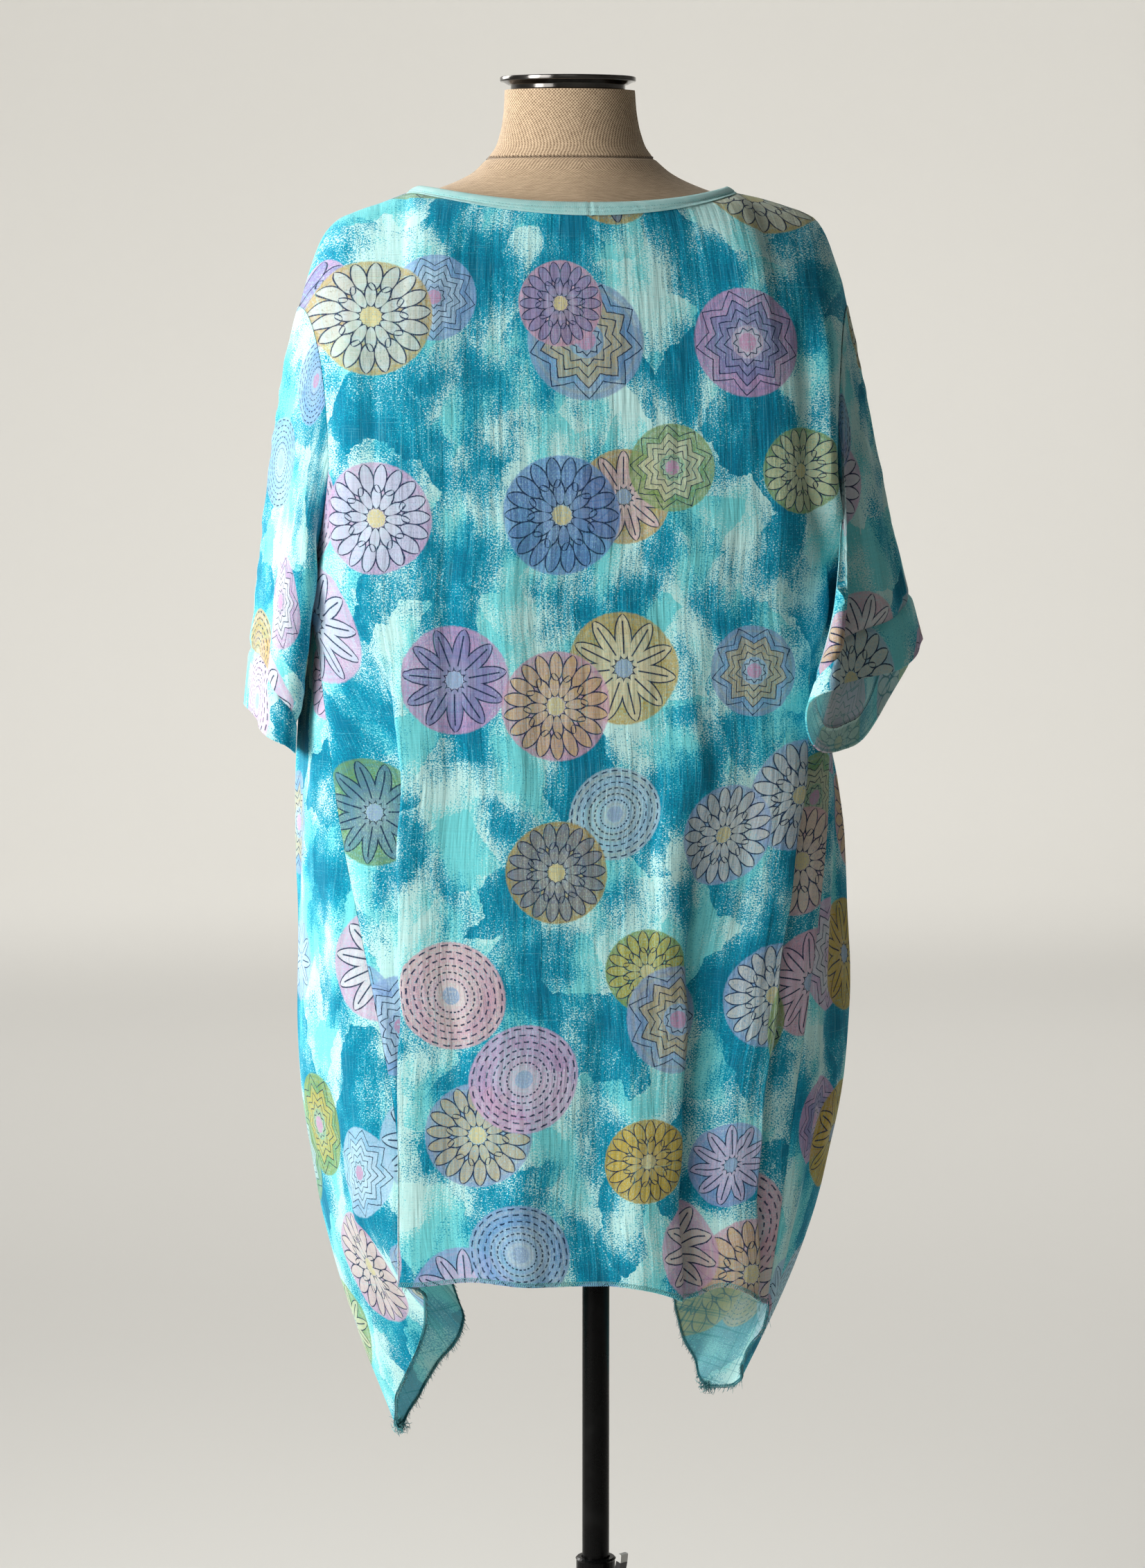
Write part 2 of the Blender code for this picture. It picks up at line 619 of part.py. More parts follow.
def sleeve_grid(side, levels, maker):
    turns = [360 * i / SLEEVE_COLUMNS for i in range(SLEEVE_COLUMNS)]
    return [[maker(side, turn, level) for turn in turns + [0]] for level in levels]


# ---------------------------------------------------------------- neck binding
def neck_edge():
    """The cloth's neck edge, once round from the right shoulder by way of the back."""
    loop = []
    for face, sides in ((BACK, (RIGHT, LEFT)), (FRONT, (LEFT, RIGHT))):
        for side, inward in zip(sides, (True, False)):
            stops = [stop for stop in half_columns(face, side) if stop < NECK_AT + 1e-6]
            for stop in sorted(stops, reverse=inward)[:-1]:
                loop.append((face, top_point(face, side, stop, 1.0)))
    return loop


def binding_grid():
    """The neck binding, from the cloth's edge to the open neck."""
    lower, upper = [], []
    for face, (x, y, z) in neck_edge():
        edge = Vector((x, y if abs(y) > RIDGE_SLOPE else 0.0, z))
        inward = Vector((-edge.x, -edge.y, 0)).normalized()
        steep = 0.75 if face == FRONT else 0.85
        rise = math.radians(35) + math.radians(15) * abs(edge.y) / NECK_BACK * steep
        slope = inward * math.cos(rise) + Vector((0, 0, 1)) * math.sin(rise)
        lower.append(tuple(edge + slope * BINDING_START))
        upper.append(tuple(edge + slope * BINDING_WIDTH))
    lower.append(lower[0])
    upper.append(upper[0])
    lift = Vector((0, 0, 0.0006))
    middle = [tuple((Vector(a) + Vector(b)) / 2 + lift) for a, b in zip(lower, upper)]
    return [lower, middle, upper]


# ---------------------------------------------------------------- building
def material(name, colour, roughness, metallic=0.0):
    made = bpy.data.materials.new(name)
    made.use_nodes = True
    shader = made.node_tree.nodes["Principled BSDF"]
    shader.inputs["Base Color"].default_value = (*colour, 1)
    shader.inputs["Roughness"].default_value = roughness
    shader.inputs["Metallic"].default_value = metallic
    return made


def place(name, mesh, where, finish, location=(0, 0, 0)):
    made = bpy.data.objects.new(name, mesh)
    made.location = location
    made.data.materials.append(finish)
    where.objects.link(made)
    return made


def sheet_mesh(name, grid):
    """A grid primitive whose points are moved onto a sheet of cloth, first and last columns
    welded where they meet."""
    rows, columns = len(grid), len(grid[0])
    shape = bmesh.new()
    bmesh.ops.create_grid(shape, x_segments=columns - 1, y_segments=rows - 1, size=1)
    shape.verts.ensure_lookup_table()
    ordered = sorted(shape.verts, key=lambda vert: (round(vert.co.y, 4), round(vert.co.x, 4)))
    for vert, point in zip(ordered, (point for row in grid for point in row)):
        vert.co = point
    bmesh.ops.remove_doubles(shape, verts=shape.verts, dist=0.00002)
    mesh = bpy.data.meshes.new(name)
    shape.to_mesh(mesh)
    shape.free()
    mesh.shade_smooth()
    return mesh


def cloth_piece(name, grid, where, finish, thickness=CLOTH):
    piece = place(name, sheet_mesh(name, grid), where, finish, (BODY_X, BODY_Y, 0))
    wall = piece.modifiers.new("wall", "SOLIDIFY")
    wall.thickness = thickness
    wall.offset = 0
    wall.use_quality_normals = True
    return piece


def form_grid(segments=36):
    """Rings of the dress form, bottom to top."""
    rows = []
    for section in FORM:
        ring = []
        for i in range(segments + 1):
            angle = 2 * math.pi * (i % segments) / segments
            power = 2 / section.square
            cos, sin = math.cos(angle), math.sin(angle)
            x = section.half * math.copysign(abs(sin) ** power, sin)
            reach = section.back if cos >= 0 else section.front
            middle = (section.back - section.front) / 2
            half_deep = (section.back + section.front) / 2
            blend = 0.5 if section.z > 1.56 else 0.0
            y = math.copysign(abs(cos) ** power, cos)
            y = y * reach * (1 - blend) + (middle + y * half_deep) * blend
            ring.append((x, y, section.z))
        rows.append(ring)
    return rows


def closed_loft(name, grid, where, finish, location):
    """A ring loft with flat ends."""
    mesh = sheet_mesh(name, grid)
    shape = bmesh.new()
    shape.from_mesh(mesh)
    bmesh.ops.holes_fill(shape, edges=[edge for edge in shape.edges if edge.is_boundary])
    bmesh.ops.recalc_face_normals(shape, faces=shape.faces)
    shape.to_mesh(mesh)
    shape.free()
    return place(name, mesh, where, finish, location)


def turned(name, profile, where, finish, location=(0, 0, 0), steps=40):
    """A turned solid. The profile runs down the outer side, as (radius, height) pairs."""
    shape = bmesh.new()
    points = [shape.verts.new((radius, 0, height)) for radius, height in profile]
    closed = profile[0][0] > 0
    pairs = list(zip(points, points[1:] + points[:1] if closed else points[1:]))
    for first, second in pairs:
        shape.edges.new((first, second))
    mesh = bpy.data.meshes.new(name)
    shape.to_mesh(mesh)
    shape.free()
    made = place(name, mesh, where, finish, location)
    spin = made.modifiers.new("turn", "SCREW")
    spin.steps = spin.render_steps = steps
    spin.use_merge_vertices = True
    spin.merge_threshold = 0.00005
    return made


def build_form(parts, cutters, linen, steel):
    form = closed_loft("dress_form", form_grid(), parts, linen, (BODY_X, BODY_Y, 0))
    socket = turned(
        "socket_cutter",
        (
            (0, FORM[0].z + POLE_IN_FORM),
            (POLE_RADIUS + 0.0006, FORM[0].z + POLE_IN_FORM),
            (POLE_RADIUS + 0.0006, FORM[0].z - 0.02),
            (0, FORM[0].z - 0.02),
        ),
        cutters,
        steel,
        steps=28,
    )
    join(form, socket, "DIFFERENCE")
    top = FORM[-1]
    cap_y = (top.back - top.front) / 2
    cap_z = top.z + SEAM_GAP
    edge = CAP_THICK / 3
    turned(
        "neck_cap",
        (
            (0, cap_z + CAP_LIFT + CAP_THICK),
            (CAP_RADIUS - 2 * edge, cap_z + CAP_LIFT + CAP_THICK),
            (CAP_RADIUS - edge / 2, cap_z + CAP_LIFT + CAP_THICK - edge / 2),
            (CAP_RADIUS, cap_z + CAP_LIFT + CAP_THICK / 2),
            (CAP_RADIUS - edge / 2, cap_z + CAP_LIFT + edge / 2),
            (CAP_RADIUS - edge, cap_z + CAP_LIFT),
            (CAP_STEM_RADIUS, cap_z + CAP_LIFT),
            (CAP_STEM_RADIUS, cap_z),
            (0, cap_z),
        ),
        parts,
        steel,
        (BODY_X, BODY_Y + cap_y, 0),
    )


def build_stand(parts, black):
    pole_top = FORM[0].z + POLE_IN_FORM - SEAM_GAP
    turned(
        "pole",
        (
            (0, pole_top),
            (POLE_RADIUS, pole_top),
            (POLE_RADIUS, FORM[0].z - SEAM_GAP),
            (FLANGE_RADIUS, FORM[0].z - SEAM_GAP),
            (FLANGE_RADIUS, FORM[0].z - SEAM_GAP - FLANGE_THICK),
            (POLE_RADIUS, FORM[0].z - SEAM_GAP - FLANGE_THICK),
            (POLE_RADIUS, POLE_BOTTOM_Z),
            (0, POLE_BOTTOM_Z),
        ),
        parts,
        black,
    )
    boss_top = BASE_THICK + BOSS_HEIGHT
    tube_bottom = boss_top + SEAM_GAP
    turned(
        "stand_tube",
        (
            (TUBE_BORE, TUBE_TOP_Z),
            (COLLAR_RADIUS - COLLAR_RIM / 4, TUBE_TOP_Z),
            (COLLAR_RADIUS + COLLAR_RIM / 4, TUBE_TOP_Z - COLLAR_RIM / 2),
            (COLLAR_RADIUS, TUBE_TOP_Z - COLLAR_RIM),
            (COLLAR_RADIUS, TUBE_TOP_Z - COLLAR_HEIGHT),
            (TUBE_RADIUS, TUBE_TOP_Z - COLLAR_HEIGHT - 0.002),
            (TUBE_RADIUS, tube_bottom),
            (TUBE_BORE, tube_bottom),
        ),
        parts,
        black,
        steps=32,
    )
    turned(
        "stand_base",
        (
            (0, boss_top),
            (TUBE_RADIUS + 0.004, boss_top),
            (TUBE_RADIUS + 0.006, boss_top - 0.003),
            (BOSS_RADIUS - 0.004, BASE_THICK + 0.006),
            (BOSS_RADIUS, BASE_THICK),
            (BASE_RADIUS - 0.006, BASE_THICK),
            (BASE_RADIUS, BASE_THICK - 0.005),
            (BASE_RADIUS, 0.0015),
            (BASE_RADIUS - 0.0015, 0),
            (0, 0),
        ),
        parts,
        black,
        steps=56,
    )


def block(name, low, high, frame, where, finish, narrow=0.0):
    """A box between two corners of its own frame, with its far end narrowed."""
    shape = bmesh.new()
    bmesh.ops.create_cube(shape, size=1)
    low, high = Vector(low), Vector(high)
    for vert in shape.verts:
        share = vert.co + Vector((0.5, 0.5, 0.5))
        vert.co = Vector(low[i] + (high[i] - low[i]) * share[i] for i in range(3))
        if share.x > 0.5:
            vert.co.z -= math.copysign(narrow, vert.co.z - (low.z + high.z) / 2)
    mesh = bpy.data.meshes.new(name)
    shape.to_mesh(mesh)
    shape.free()
    made = place(name, mesh, where, finish)
    made.matrix_world = frame
    return made


def bar(name, radius, length, frame, where, finish, segments=24):
    """A round bar across the clamp, its middle at its frame's origin."""
    shape = bmesh.new()
    bmesh.ops.create_cone(
        shape, cap_ends=True, segments=segments, radius1=radius, radius2=radius, depth=length
    )
    mesh = bpy.data.meshes.new(name)
    shape.to_mesh(mesh)
    shape.free()
    mesh.shade_smooth()
    mesh.set_sharp_from_angle(angle=math.radians(40))
    made = place(name, mesh, where, finish)
    made.matrix_world = frame @ Matrix.Rotation(math.radians(90), 4, "X")
    return made


def join(target, other, kind):
    """Cuts `other` out of `target`, or joins it on, and keeps it out of the render."""
    cut = target.modifiers.new(other.name, "BOOLEAN")
    cut.operation = kind
    cut.solver = "EXACT"
    cut.object = other
    other.hide_render = True
    other.display_type = "WIRE"


def build_clamp(parts, cutters, black, tip):
    """A bracket on the collar, and the lever that locks the pole, on a pin through it."""
    turn = Matrix.Rotation(math.radians(CLAMP_TURN), 4, "Z")
    pin_z = TUBE_TOP_Z - CLAMP_DROP
    at_pin = turn @ Matrix.Translation((CLAMP_REACH, 0, pin_z))
    half = BRACKET_WIDTH / 2
    low = (COLLAR_RADIUS + 0.0008, -half, pin_z - BRACKET_HEIGHT / 2)
    high = (CLAMP_REACH + BRACKET_END, half, pin_z + BRACKET_HEIGHT / 2)
    bracket = block("clamp_bracket", low, high, turn, parts, black)
    slot = block(
        "slot_cutter",
        (SLOT_START, -SLOT_WIDTH / 2, low[2] - 0.01),
        (high[0] + 0.01, SLOT_WIDTH / 2, high[2] + 0.01),
        turn,
        cutters,
        black,
    )
    join(bracket, slot, "DIFFERENCE")
    bore_radius = PIN_RADIUS + PIN_PLAY
    bore_length = BRACKET_WIDTH * 2
    bore = bar("pin_cutter", bore_radius, bore_length, at_pin, cutters, black)
    join(bracket, bore, "DIFFERENCE")
    bar("clamp_pin", PIN_RADIUS, BRACKET_WIDTH + 2 * PIN_OVERHANG, at_pin, parts, black)

    side = SLOT_WIDTH / 2 - LEVER_SIDE_PLAY
    lean = at_pin @ Matrix.Rotation(math.radians(-LEVER_LEAN), 4, "Y")
    hub = bar("lever", LEVER_HUB_RADIUS, 2 * side, at_pin, parts, black)
    end = LEVER_LENGTH - LEVER_TIP_LENGTH
    wing = block(
        "lever_wing",
        (0.001, -side, -LEVER_HALF_THICK),
        (end, side, LEVER_HALF_THICK),
        lean,
        cutters,
        black,
        LEVER_TAPER,
    )
    join(hub, wing, "UNION")
    bore = bar("lever_cutter", bore_radius, bore_length, at_pin, cutters, black)
    join(hub, bore, "DIFFERENCE")
    block(
        "lever_tip",
        (end + SEAM_GAP, -side, -LEVER_TIP_HALF_THICK),
        (LEVER_LENGTH, side, LEVER_TIP_HALF_THICK),
        lean,
        parts,
        tip,
        LEVER_TIP_TAPER,
    )


def build():
    for old in list(bpy.data.objects):
        bpy.data.objects.remove(old)
    parts = bpy.data.collections.new("tunic_on_dress_form")
    cutters = bpy.data.collections.new("cutters")
    for made in (parts, cutters):
        bpy.context.scene.collection.children.link(made)
    cotton = material("printed_cotton", (0.16, 0.58, 0.66), 0.85)
    jersey = material("aqua_jersey", (0.42, 0.80, 0.79), 0.9)
    linen = material("form_linen", (0.47, 0.36, 0.24), 0.9)
    steel = material("polished_steel", (0.62, 0.60, 0.56), 0.18, 1.0)
    black = material("black_steel", (0.02, 0.02, 0.022), 0.35, 0.6)
    tip = material("lever_tip", (0.70, 0.70, 0.68), 0.5)

    cloth_piece("back", panel_grid(BACK), parts, cotton)
    cloth_piece("front", panel_grid(FRONT), parts, cotton)
    for side in (LEFT, RIGHT):
        cloth_piece(f"side_panel_{side_name(side)}", side_panel_grid(side), parts, cotton)
        name = side_name(side)
        sleeve = sleeve_grid(side, SLEEVE_LEVELS, sleeve_point)
        cloth_piece(f"sleeve_{name}", sleeve, parts, cotton)
        cuff = sleeve_grid(side, CUFF_LEVELS, cuff_point)
        cloth_piece(f"cuff_{name}", cuff, parts, cotton)
    cloth_piece("neck_binding", binding_grid(), parts, jersey, BINDING_THICK)
    build_form(parts, cutters, linen, steel)
    build_stand(parts, black)
    build_clamp(parts, cutters, black, tip)


build()
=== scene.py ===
"""The looks of a wide printed tunic on a dress form with a pole stand.

The stand's metal keeps its CAD shapes and gets finishes. The cloth pieces, the padded form and
its cap are modelled again here, finer, in the places of their CAD nodes. Metres, +Z up. The
tunic's front faces -Y, so the wearer's left is +X.
"""

import logging
import math
from bisect import bisect_right
from dataclasses import dataclass
from enum import IntEnum
from functools import cached_property, lru_cache, partialmethod, reduce
from typing import NamedTuple, Sequence

import bpy
import numpy as np
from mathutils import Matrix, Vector


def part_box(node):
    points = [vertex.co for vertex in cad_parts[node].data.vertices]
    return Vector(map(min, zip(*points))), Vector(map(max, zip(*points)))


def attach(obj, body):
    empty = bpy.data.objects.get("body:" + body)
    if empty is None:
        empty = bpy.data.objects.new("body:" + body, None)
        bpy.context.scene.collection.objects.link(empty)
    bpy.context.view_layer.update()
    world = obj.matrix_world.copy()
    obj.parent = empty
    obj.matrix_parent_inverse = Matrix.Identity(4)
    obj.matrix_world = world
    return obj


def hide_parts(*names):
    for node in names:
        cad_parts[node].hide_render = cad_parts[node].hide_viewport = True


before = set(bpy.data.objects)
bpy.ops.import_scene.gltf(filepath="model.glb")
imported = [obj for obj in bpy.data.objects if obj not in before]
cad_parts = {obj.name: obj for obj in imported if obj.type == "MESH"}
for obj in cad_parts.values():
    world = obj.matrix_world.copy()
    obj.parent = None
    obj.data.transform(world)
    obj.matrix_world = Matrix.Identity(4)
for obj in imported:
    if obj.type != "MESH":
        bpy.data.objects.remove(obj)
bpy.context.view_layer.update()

LOG = logging.getLogger("tunic")

Piece = bpy.types.Object
Finish = bpy.types.Material
Pair = tuple[float, float]
Spot = tuple[float, float, float]

BODY_X = 0.018  # the form's middle plane stands this far to the left of the pole
BODY_Y = -0.02  # and its shoulder line this far in front of it
CLOTH = 0.0012  # wall of the cloth
SEAM_GAP = 0.0004  # between two pieces at a seam
UNDERARM_Z = 1.18
BLADE_Z = 1.3  # above this height the front and back curve over the shoulders
ARMHOLE_DEPTH = 0.07
UNDERARM_HALF = 0.02
RIDGE_SLOPE = 0.0004
NECK_AT = 0.174  # the neckline ends at this distance along the cloth
NECK_HALF_WIDTH = 0.15
NECK_REACH = {1: 0.083, -1: 0.112}  # reach of the neckline, by face
NECK_LOW_Z = {1: 1.526, -1: 1.428}
HEM_TRIM = 0.0011
HEM_GUESS_Z = 0.57  # about the hem's height, where its distance from the middle is read
CUFF_LEVEL = 0.855  # share of a sleeve's length above its cuff
CENTRE = np.array([BODY_X, BODY_Y, 0])
UP = np.array([0, 0, 1.0])


class Side(IntEnum):
    """The wearer's two sides."""

    LEFT = 1
    RIGHT = -1


class Face(IntEnum):
    """The tunic's two faces."""

    BACK = 1
    FRONT = -1


# ---------------------------------------------------------------- tables
class Table:
    """Rows of named columns, read smoothly between the rows."""

    def __init__(self, names: str, *rows: Sequence[float]) -> None:
        """Keeps the rows in the order of their first column.

        Args:
            names: The columns' names, split by spaces. The first is the key.
            rows: The numbers of each row.
        """
        values = np.array(sorted(rows), float).T
        self.key = values[0].tolist()
        self.columns = {
            name: (column.tolist(), np.gradient(column, values[0]).tolist())
            for name, column in zip(names.split(), values)
        }

    def read(self, name: str, at: float) -> float:
        """A column's value at a key.

        Args:
            name: The column.
            at: The key, held inside the table.

        Returns:
            The value on a smooth curve through the rows.
        """
        key = self.key
        values, slopes = self.columns[name]
        at = min(max(at, key[0]), key[-1])
        i = min(bisect_right(key, at) - 1, len(key) - 2)
        gap = key[i + 1] - key[i]
        t = (at - key[i]) / gap
        return (
            (2 * t**3 - 3 * t**2 + 1) * values[i]
            + (t**3 - 2 * t**2 + t) * gap * slopes[i]
            + (3 * t**2 - 2 * t**3) * values[i + 1]
            + (t**3 - t**2) * gap * slopes[i + 1]
        )


# Half-widths, reaches and squareness (2 is an ellipse) of the hanging cloth by height.
BODY = Table(
    "z left right back front square",
    (1.3, 0.24, 0.237, 0.118, 0.14, 4.2),
    (1.24, 0.241, 0.235, 0.1215, 0.15, 4.2),
    (1.18, 0.2415, 0.233, 0.124, 0.153, 4.0),
    (1.1, 0.245, 0.232, 0.1265, 0.153, 3.6),
    (1.03, 0.2475, 0.235, 0.128, 0.152, 3.3),
    (0.96, 0.249, 0.243, 0.129, 0.151, 3.1),
    (0.88, 0.249, 0.246, 0.13, 0.15, 3.0),
    (0.78, 0.248, 0.247, 0.13, 0.149, 3.0),
    (0.72, 0.243, 0.241, 0.129, 0.148, 3.0),
    (0.66, 0.233, 0.229, 0.127, 0.146, 3.0),
    (0.6, 0.222, 0.216, 0.125, 0.144, 3.0),
    (0.55, 0.209, 0.203, 0.123, 0.142, 3.0),
    (0.5, 0.194, 0.188, 0.12, 0.139, 3.0),
    (0.45, 0.176, 0.172, 0.115, 0.133, 3.0),
    (0.4, 0.158, 0.156, 0.11, 0.127, 3.0),
)
# How far out the slanting seams of the side panels stand, at each height.
SEAMS = Table(
    "z back_left back_right front_left front_right",
    (1.12, 0.24, 0.229, 0.24, 0.229),
    (1.05, 0.234, 0.224, 0.233, 0.223),
    (0.975, 0.225, 0.219, 0.219, 0.217),
    (0.894, 0.211, 0.209, 0.199, 0.198),
    (0.793, 0.193, 0.194, 0.174, 0.174),
    (0.725, 0.182, 0.184, 0.16, 0.16),
    (0.65, 0.177, 0.176, 0.146, 0.147),
    (0.57, 0.175, 0.166, 0.133, 0.135),
    (0.5, 0.16, 0.156, 0.123, 0.125),
    (0.4, 0.13, 0.13, 0.105, 0.105),
)
# Height of the hem of the front and back, by distance from the middle plane.
HEM = Table(
    "out back_left back_right front_left front_right",
    (0.0, 0.568, 0.568, 0.576, 0.576),
    (0.035, 0.5686, 0.564, 0.5754, 0.5748),
    (0.06, 0.569, 0.557, 0.575, 0.574),
    (0.09, 0.572, 0.548, 0.5732, 0.5716),
    (0.104, 0.5735, 0.559, 0.5724, 0.5705),
    (0.16, 0.569, 0.54, 0.566, 0.56),
    (0.24, 0.568, 0.515, 0.56, 0.55),
)
# Height of the cloth's top edge on each shoulder, by distance from the middle plane.
SHOULDER = Table(
    "out left right",
    (0.15, 1.543, 1.544),
    (0.172, 1.5345, 1.5395),
    (0.198, 1.5255, 1.532),
    (0.214, 1.5175, 1.5265),
    (0.226, 1.503, 1.519),
    (0.236, 1.48, 1.503),
    (0.243, 1.46, 1.485),
    (0.249, 1.442, 1.468),
    (0.256, 1.421, 1.442),
)
SHOULDER_END = {Side.LEFT: 0.249, Side.RIGHT: 0.256}


class Lap(NamedTuple):
    """A fold that laps over itself. The cloth turns back under at `start` from the middle and
    hides `excess` of itself within `span`. It opens between the heights `top` and `full`."""

    start: float
    span: float
    excess: float
    lift: float
    top: float
    full: float


class Swell(NamedTuple):
    """A soft hanging fold: place, width and height, and the heights between which it grows. The
    place is a distance from the middle or, on a side panel, a share across it."""

    at: float
    width: float
    height: float
    top: float
    full: float


LAPS = {
    (Face.BACK, Side.LEFT): (Lap(0.174, 0.056, 0.074, 0.0085, 1.23, 0.96),),
    (Face.BACK, Side.RIGHT): (
        Lap(0.19, 0.056, 0.086, 0.0085, 1.23, 0.98),
        Lap(0.073, 0.036, 0.044, 0.008, 1.1, 0.64),
    ),
    (Face.FRONT, Side.LEFT): (Lap(0.13, 0.054, 0.07, 0.0085, 1.06, 0.82),),
    (Face.FRONT, Side.RIGHT): (Lap(0.134, 0.054, 0.068, 0.0085, 1.06, 0.8),),
}
SWELLS = {
    (Face.BACK, Side.LEFT): (
        Swell(0.135, 0.055, -0.005, 1.25, 0.85),
        Swell(0.085, 0.06, 0.0045, 1.05, 0.65),
    ),
    (Face.BACK, Side.RIGHT): (
        Swell(0.035, 0.05, 0.006, 1.0, 0.65),
        Swell(0.125, 0.06, -0.008, 1.15, 0.7),
    ),
    (Face.FRONT, Side.LEFT): (
        Swell(0.045, 0.06, 0.008, 1.15, 0.65),
        Swell(0.095, 0.05, -0.006, 1.05, 0.7),
    ),
    (Face.FRONT, Side.RIGHT): (
        Swell(0.05, 0.06, 0.006, 1.05, 0.7),
        Swell(0.1, 0.055, -0.007, 1.1, 0.65),
    ),
}
RIPPLES = {
    Side.LEFT: (
        Swell(0.22, 0.14, -0.006, 1.05, 0.76),
        Swell(0.45, 0.16, 0.005, 1.0, 0.7),
        Swell(0.72, 0.15, -0.007, 1.05, 0.76),
    ),
    Side.RIGHT: (
        Swell(0.16, 0.12, -0.008, 1.05, 0.9),
        Swell(0.36, 0.12, 0.007, 1.08, 1.0),
        Swell(0.7, 0.16, -0.006, 1.02, 0.8),
    ),
}
# Free hem of a side panel between its seams: share across it, and the place of the edge.
POINTED_HEM = {
    Side.LEFT: (
        (0.1, 0.15, 0.086, 0.556),
        (0.2, 0.152, 0.048, 0.512),
        (0.32, 0.166, 0.02, 0.452),
        (0.44, 0.156, -0.01, 0.413),
        (0.58, 0.119, -0.058, 0.455),
        (0.72, 0.096, -0.088, 0.482),
        (0.86, 0.09, -0.112, 0.515),
    ),
    Side.RIGHT: (
        (0.1, 0.158, 0.082, 0.5),
        (0.22, 0.156, 0.036, 0.464),
        (0.34, 0.15, 0.0, 0.441),
        (0.46, 0.135, -0.045, 0.431),
        (0.58, 0.131, -0.078, 0.452),
        (0.72, 0.127, -0.104, 0.482),
        (0.86, 0.122, -0.122, 0.512),
    ),
}


class Opening(NamedTuple):
    """A sleeve's open end, a flattened loop: its middle, half sizes, turn, twist and tilt."""

    out: float
    back: float
    z: float
    thin: float
    deep: float
    yaw: float
    twist: float
    raise_thin: float
    raise_deep: float
    raise_ends: float
    bow_out: float
    bow_in: float


OPENINGS = {
    Side.LEFT: Opening(
        0.2755, -0.03, 1.062, 0.0175, 0.09, 0, 0, 0.018, -0.006, 0.0, 0.006, 0.006
    ),
    Side.RIGHT: Opening(
        0.254, 0.081, 1.077, 0.0165, 0.092, 46, -38, 0.034, -0.02, 0.034, 0.0, 0.021
    ),
}
# Folds that hang along each sleeve: turn and its change along the arm in degrees, width in
# degrees, height, and the shares of the arm between which they grow.
HANGS = {
    Side.LEFT: (
        (100, 0, 34, 0.01, 0.08, 0.35), (36, 0, 14, -0.0022, 0.2, 0.6),
        (296, 6, 16, 0.0026, 0.1, 0.5), (240, 0, 18, -0.003, 0.1, 0.5),
    ),
    Side.RIGHT: (
        (100, 0, 34, 0.005, 0.08, 0.35),
        (28, 10, 11, 0.0058, 0.12, 0.45), (54, 6, 9, -0.006, 0.1, 0.4),
        (2, 12, 9, -0.0022, 0.2, 0.6), (300, 0, 18, 0.003, 0.1, 0.5),
        (240, 0, 18, -0.0034, 0.1, 0.5),
    ),
}
OVERARM = {Side.LEFT: 352.0, Side.RIGHT: 9.0}
# Long folds of the sleeves' open ends: turn in degrees, width in degrees and height.
PLEATS = {
    Side.LEFT: ((62, 40, 0.005), (312, 46, -0.004)),
    Side.RIGHT: ((62, 34, 0.007), (20, 36, -0.011), (340, 36, 0.006), (215, 44, 0.005)),
}


def ease(t: float) -> float:
    """0 below 0, 1 above 1, and a soft step between."""
    t = min(max(t, 0.0), 1.0)
    return t * t * t * (t * (6 * t - 15) + 10)


def eases(t: np.ndarray) -> np.ndarray:
    """The same soft step for an array."""
    t = np.clip(t, 0.0, 1.0)
    return t * t * t * (t * (6 * t - 15) + 10)


def bell(x: np.ndarray | float, width: float) -> np.ndarray:
    """A bell curve, 1 at 0."""
    return np.exp(-((x / width) ** 2))


def hill(t: float) -> float:
    """A soft hill, 1 at t = 0 and 0 beyond t = -1 and t = 1."""
    return ease(1 - abs(t))


def grown(fold: Lap | Swell, z: float) -> float:
    """How far a fold has opened at a height, from 0 to 1."""
    return ease((fold.top - z) / (fold.top - fold.full))


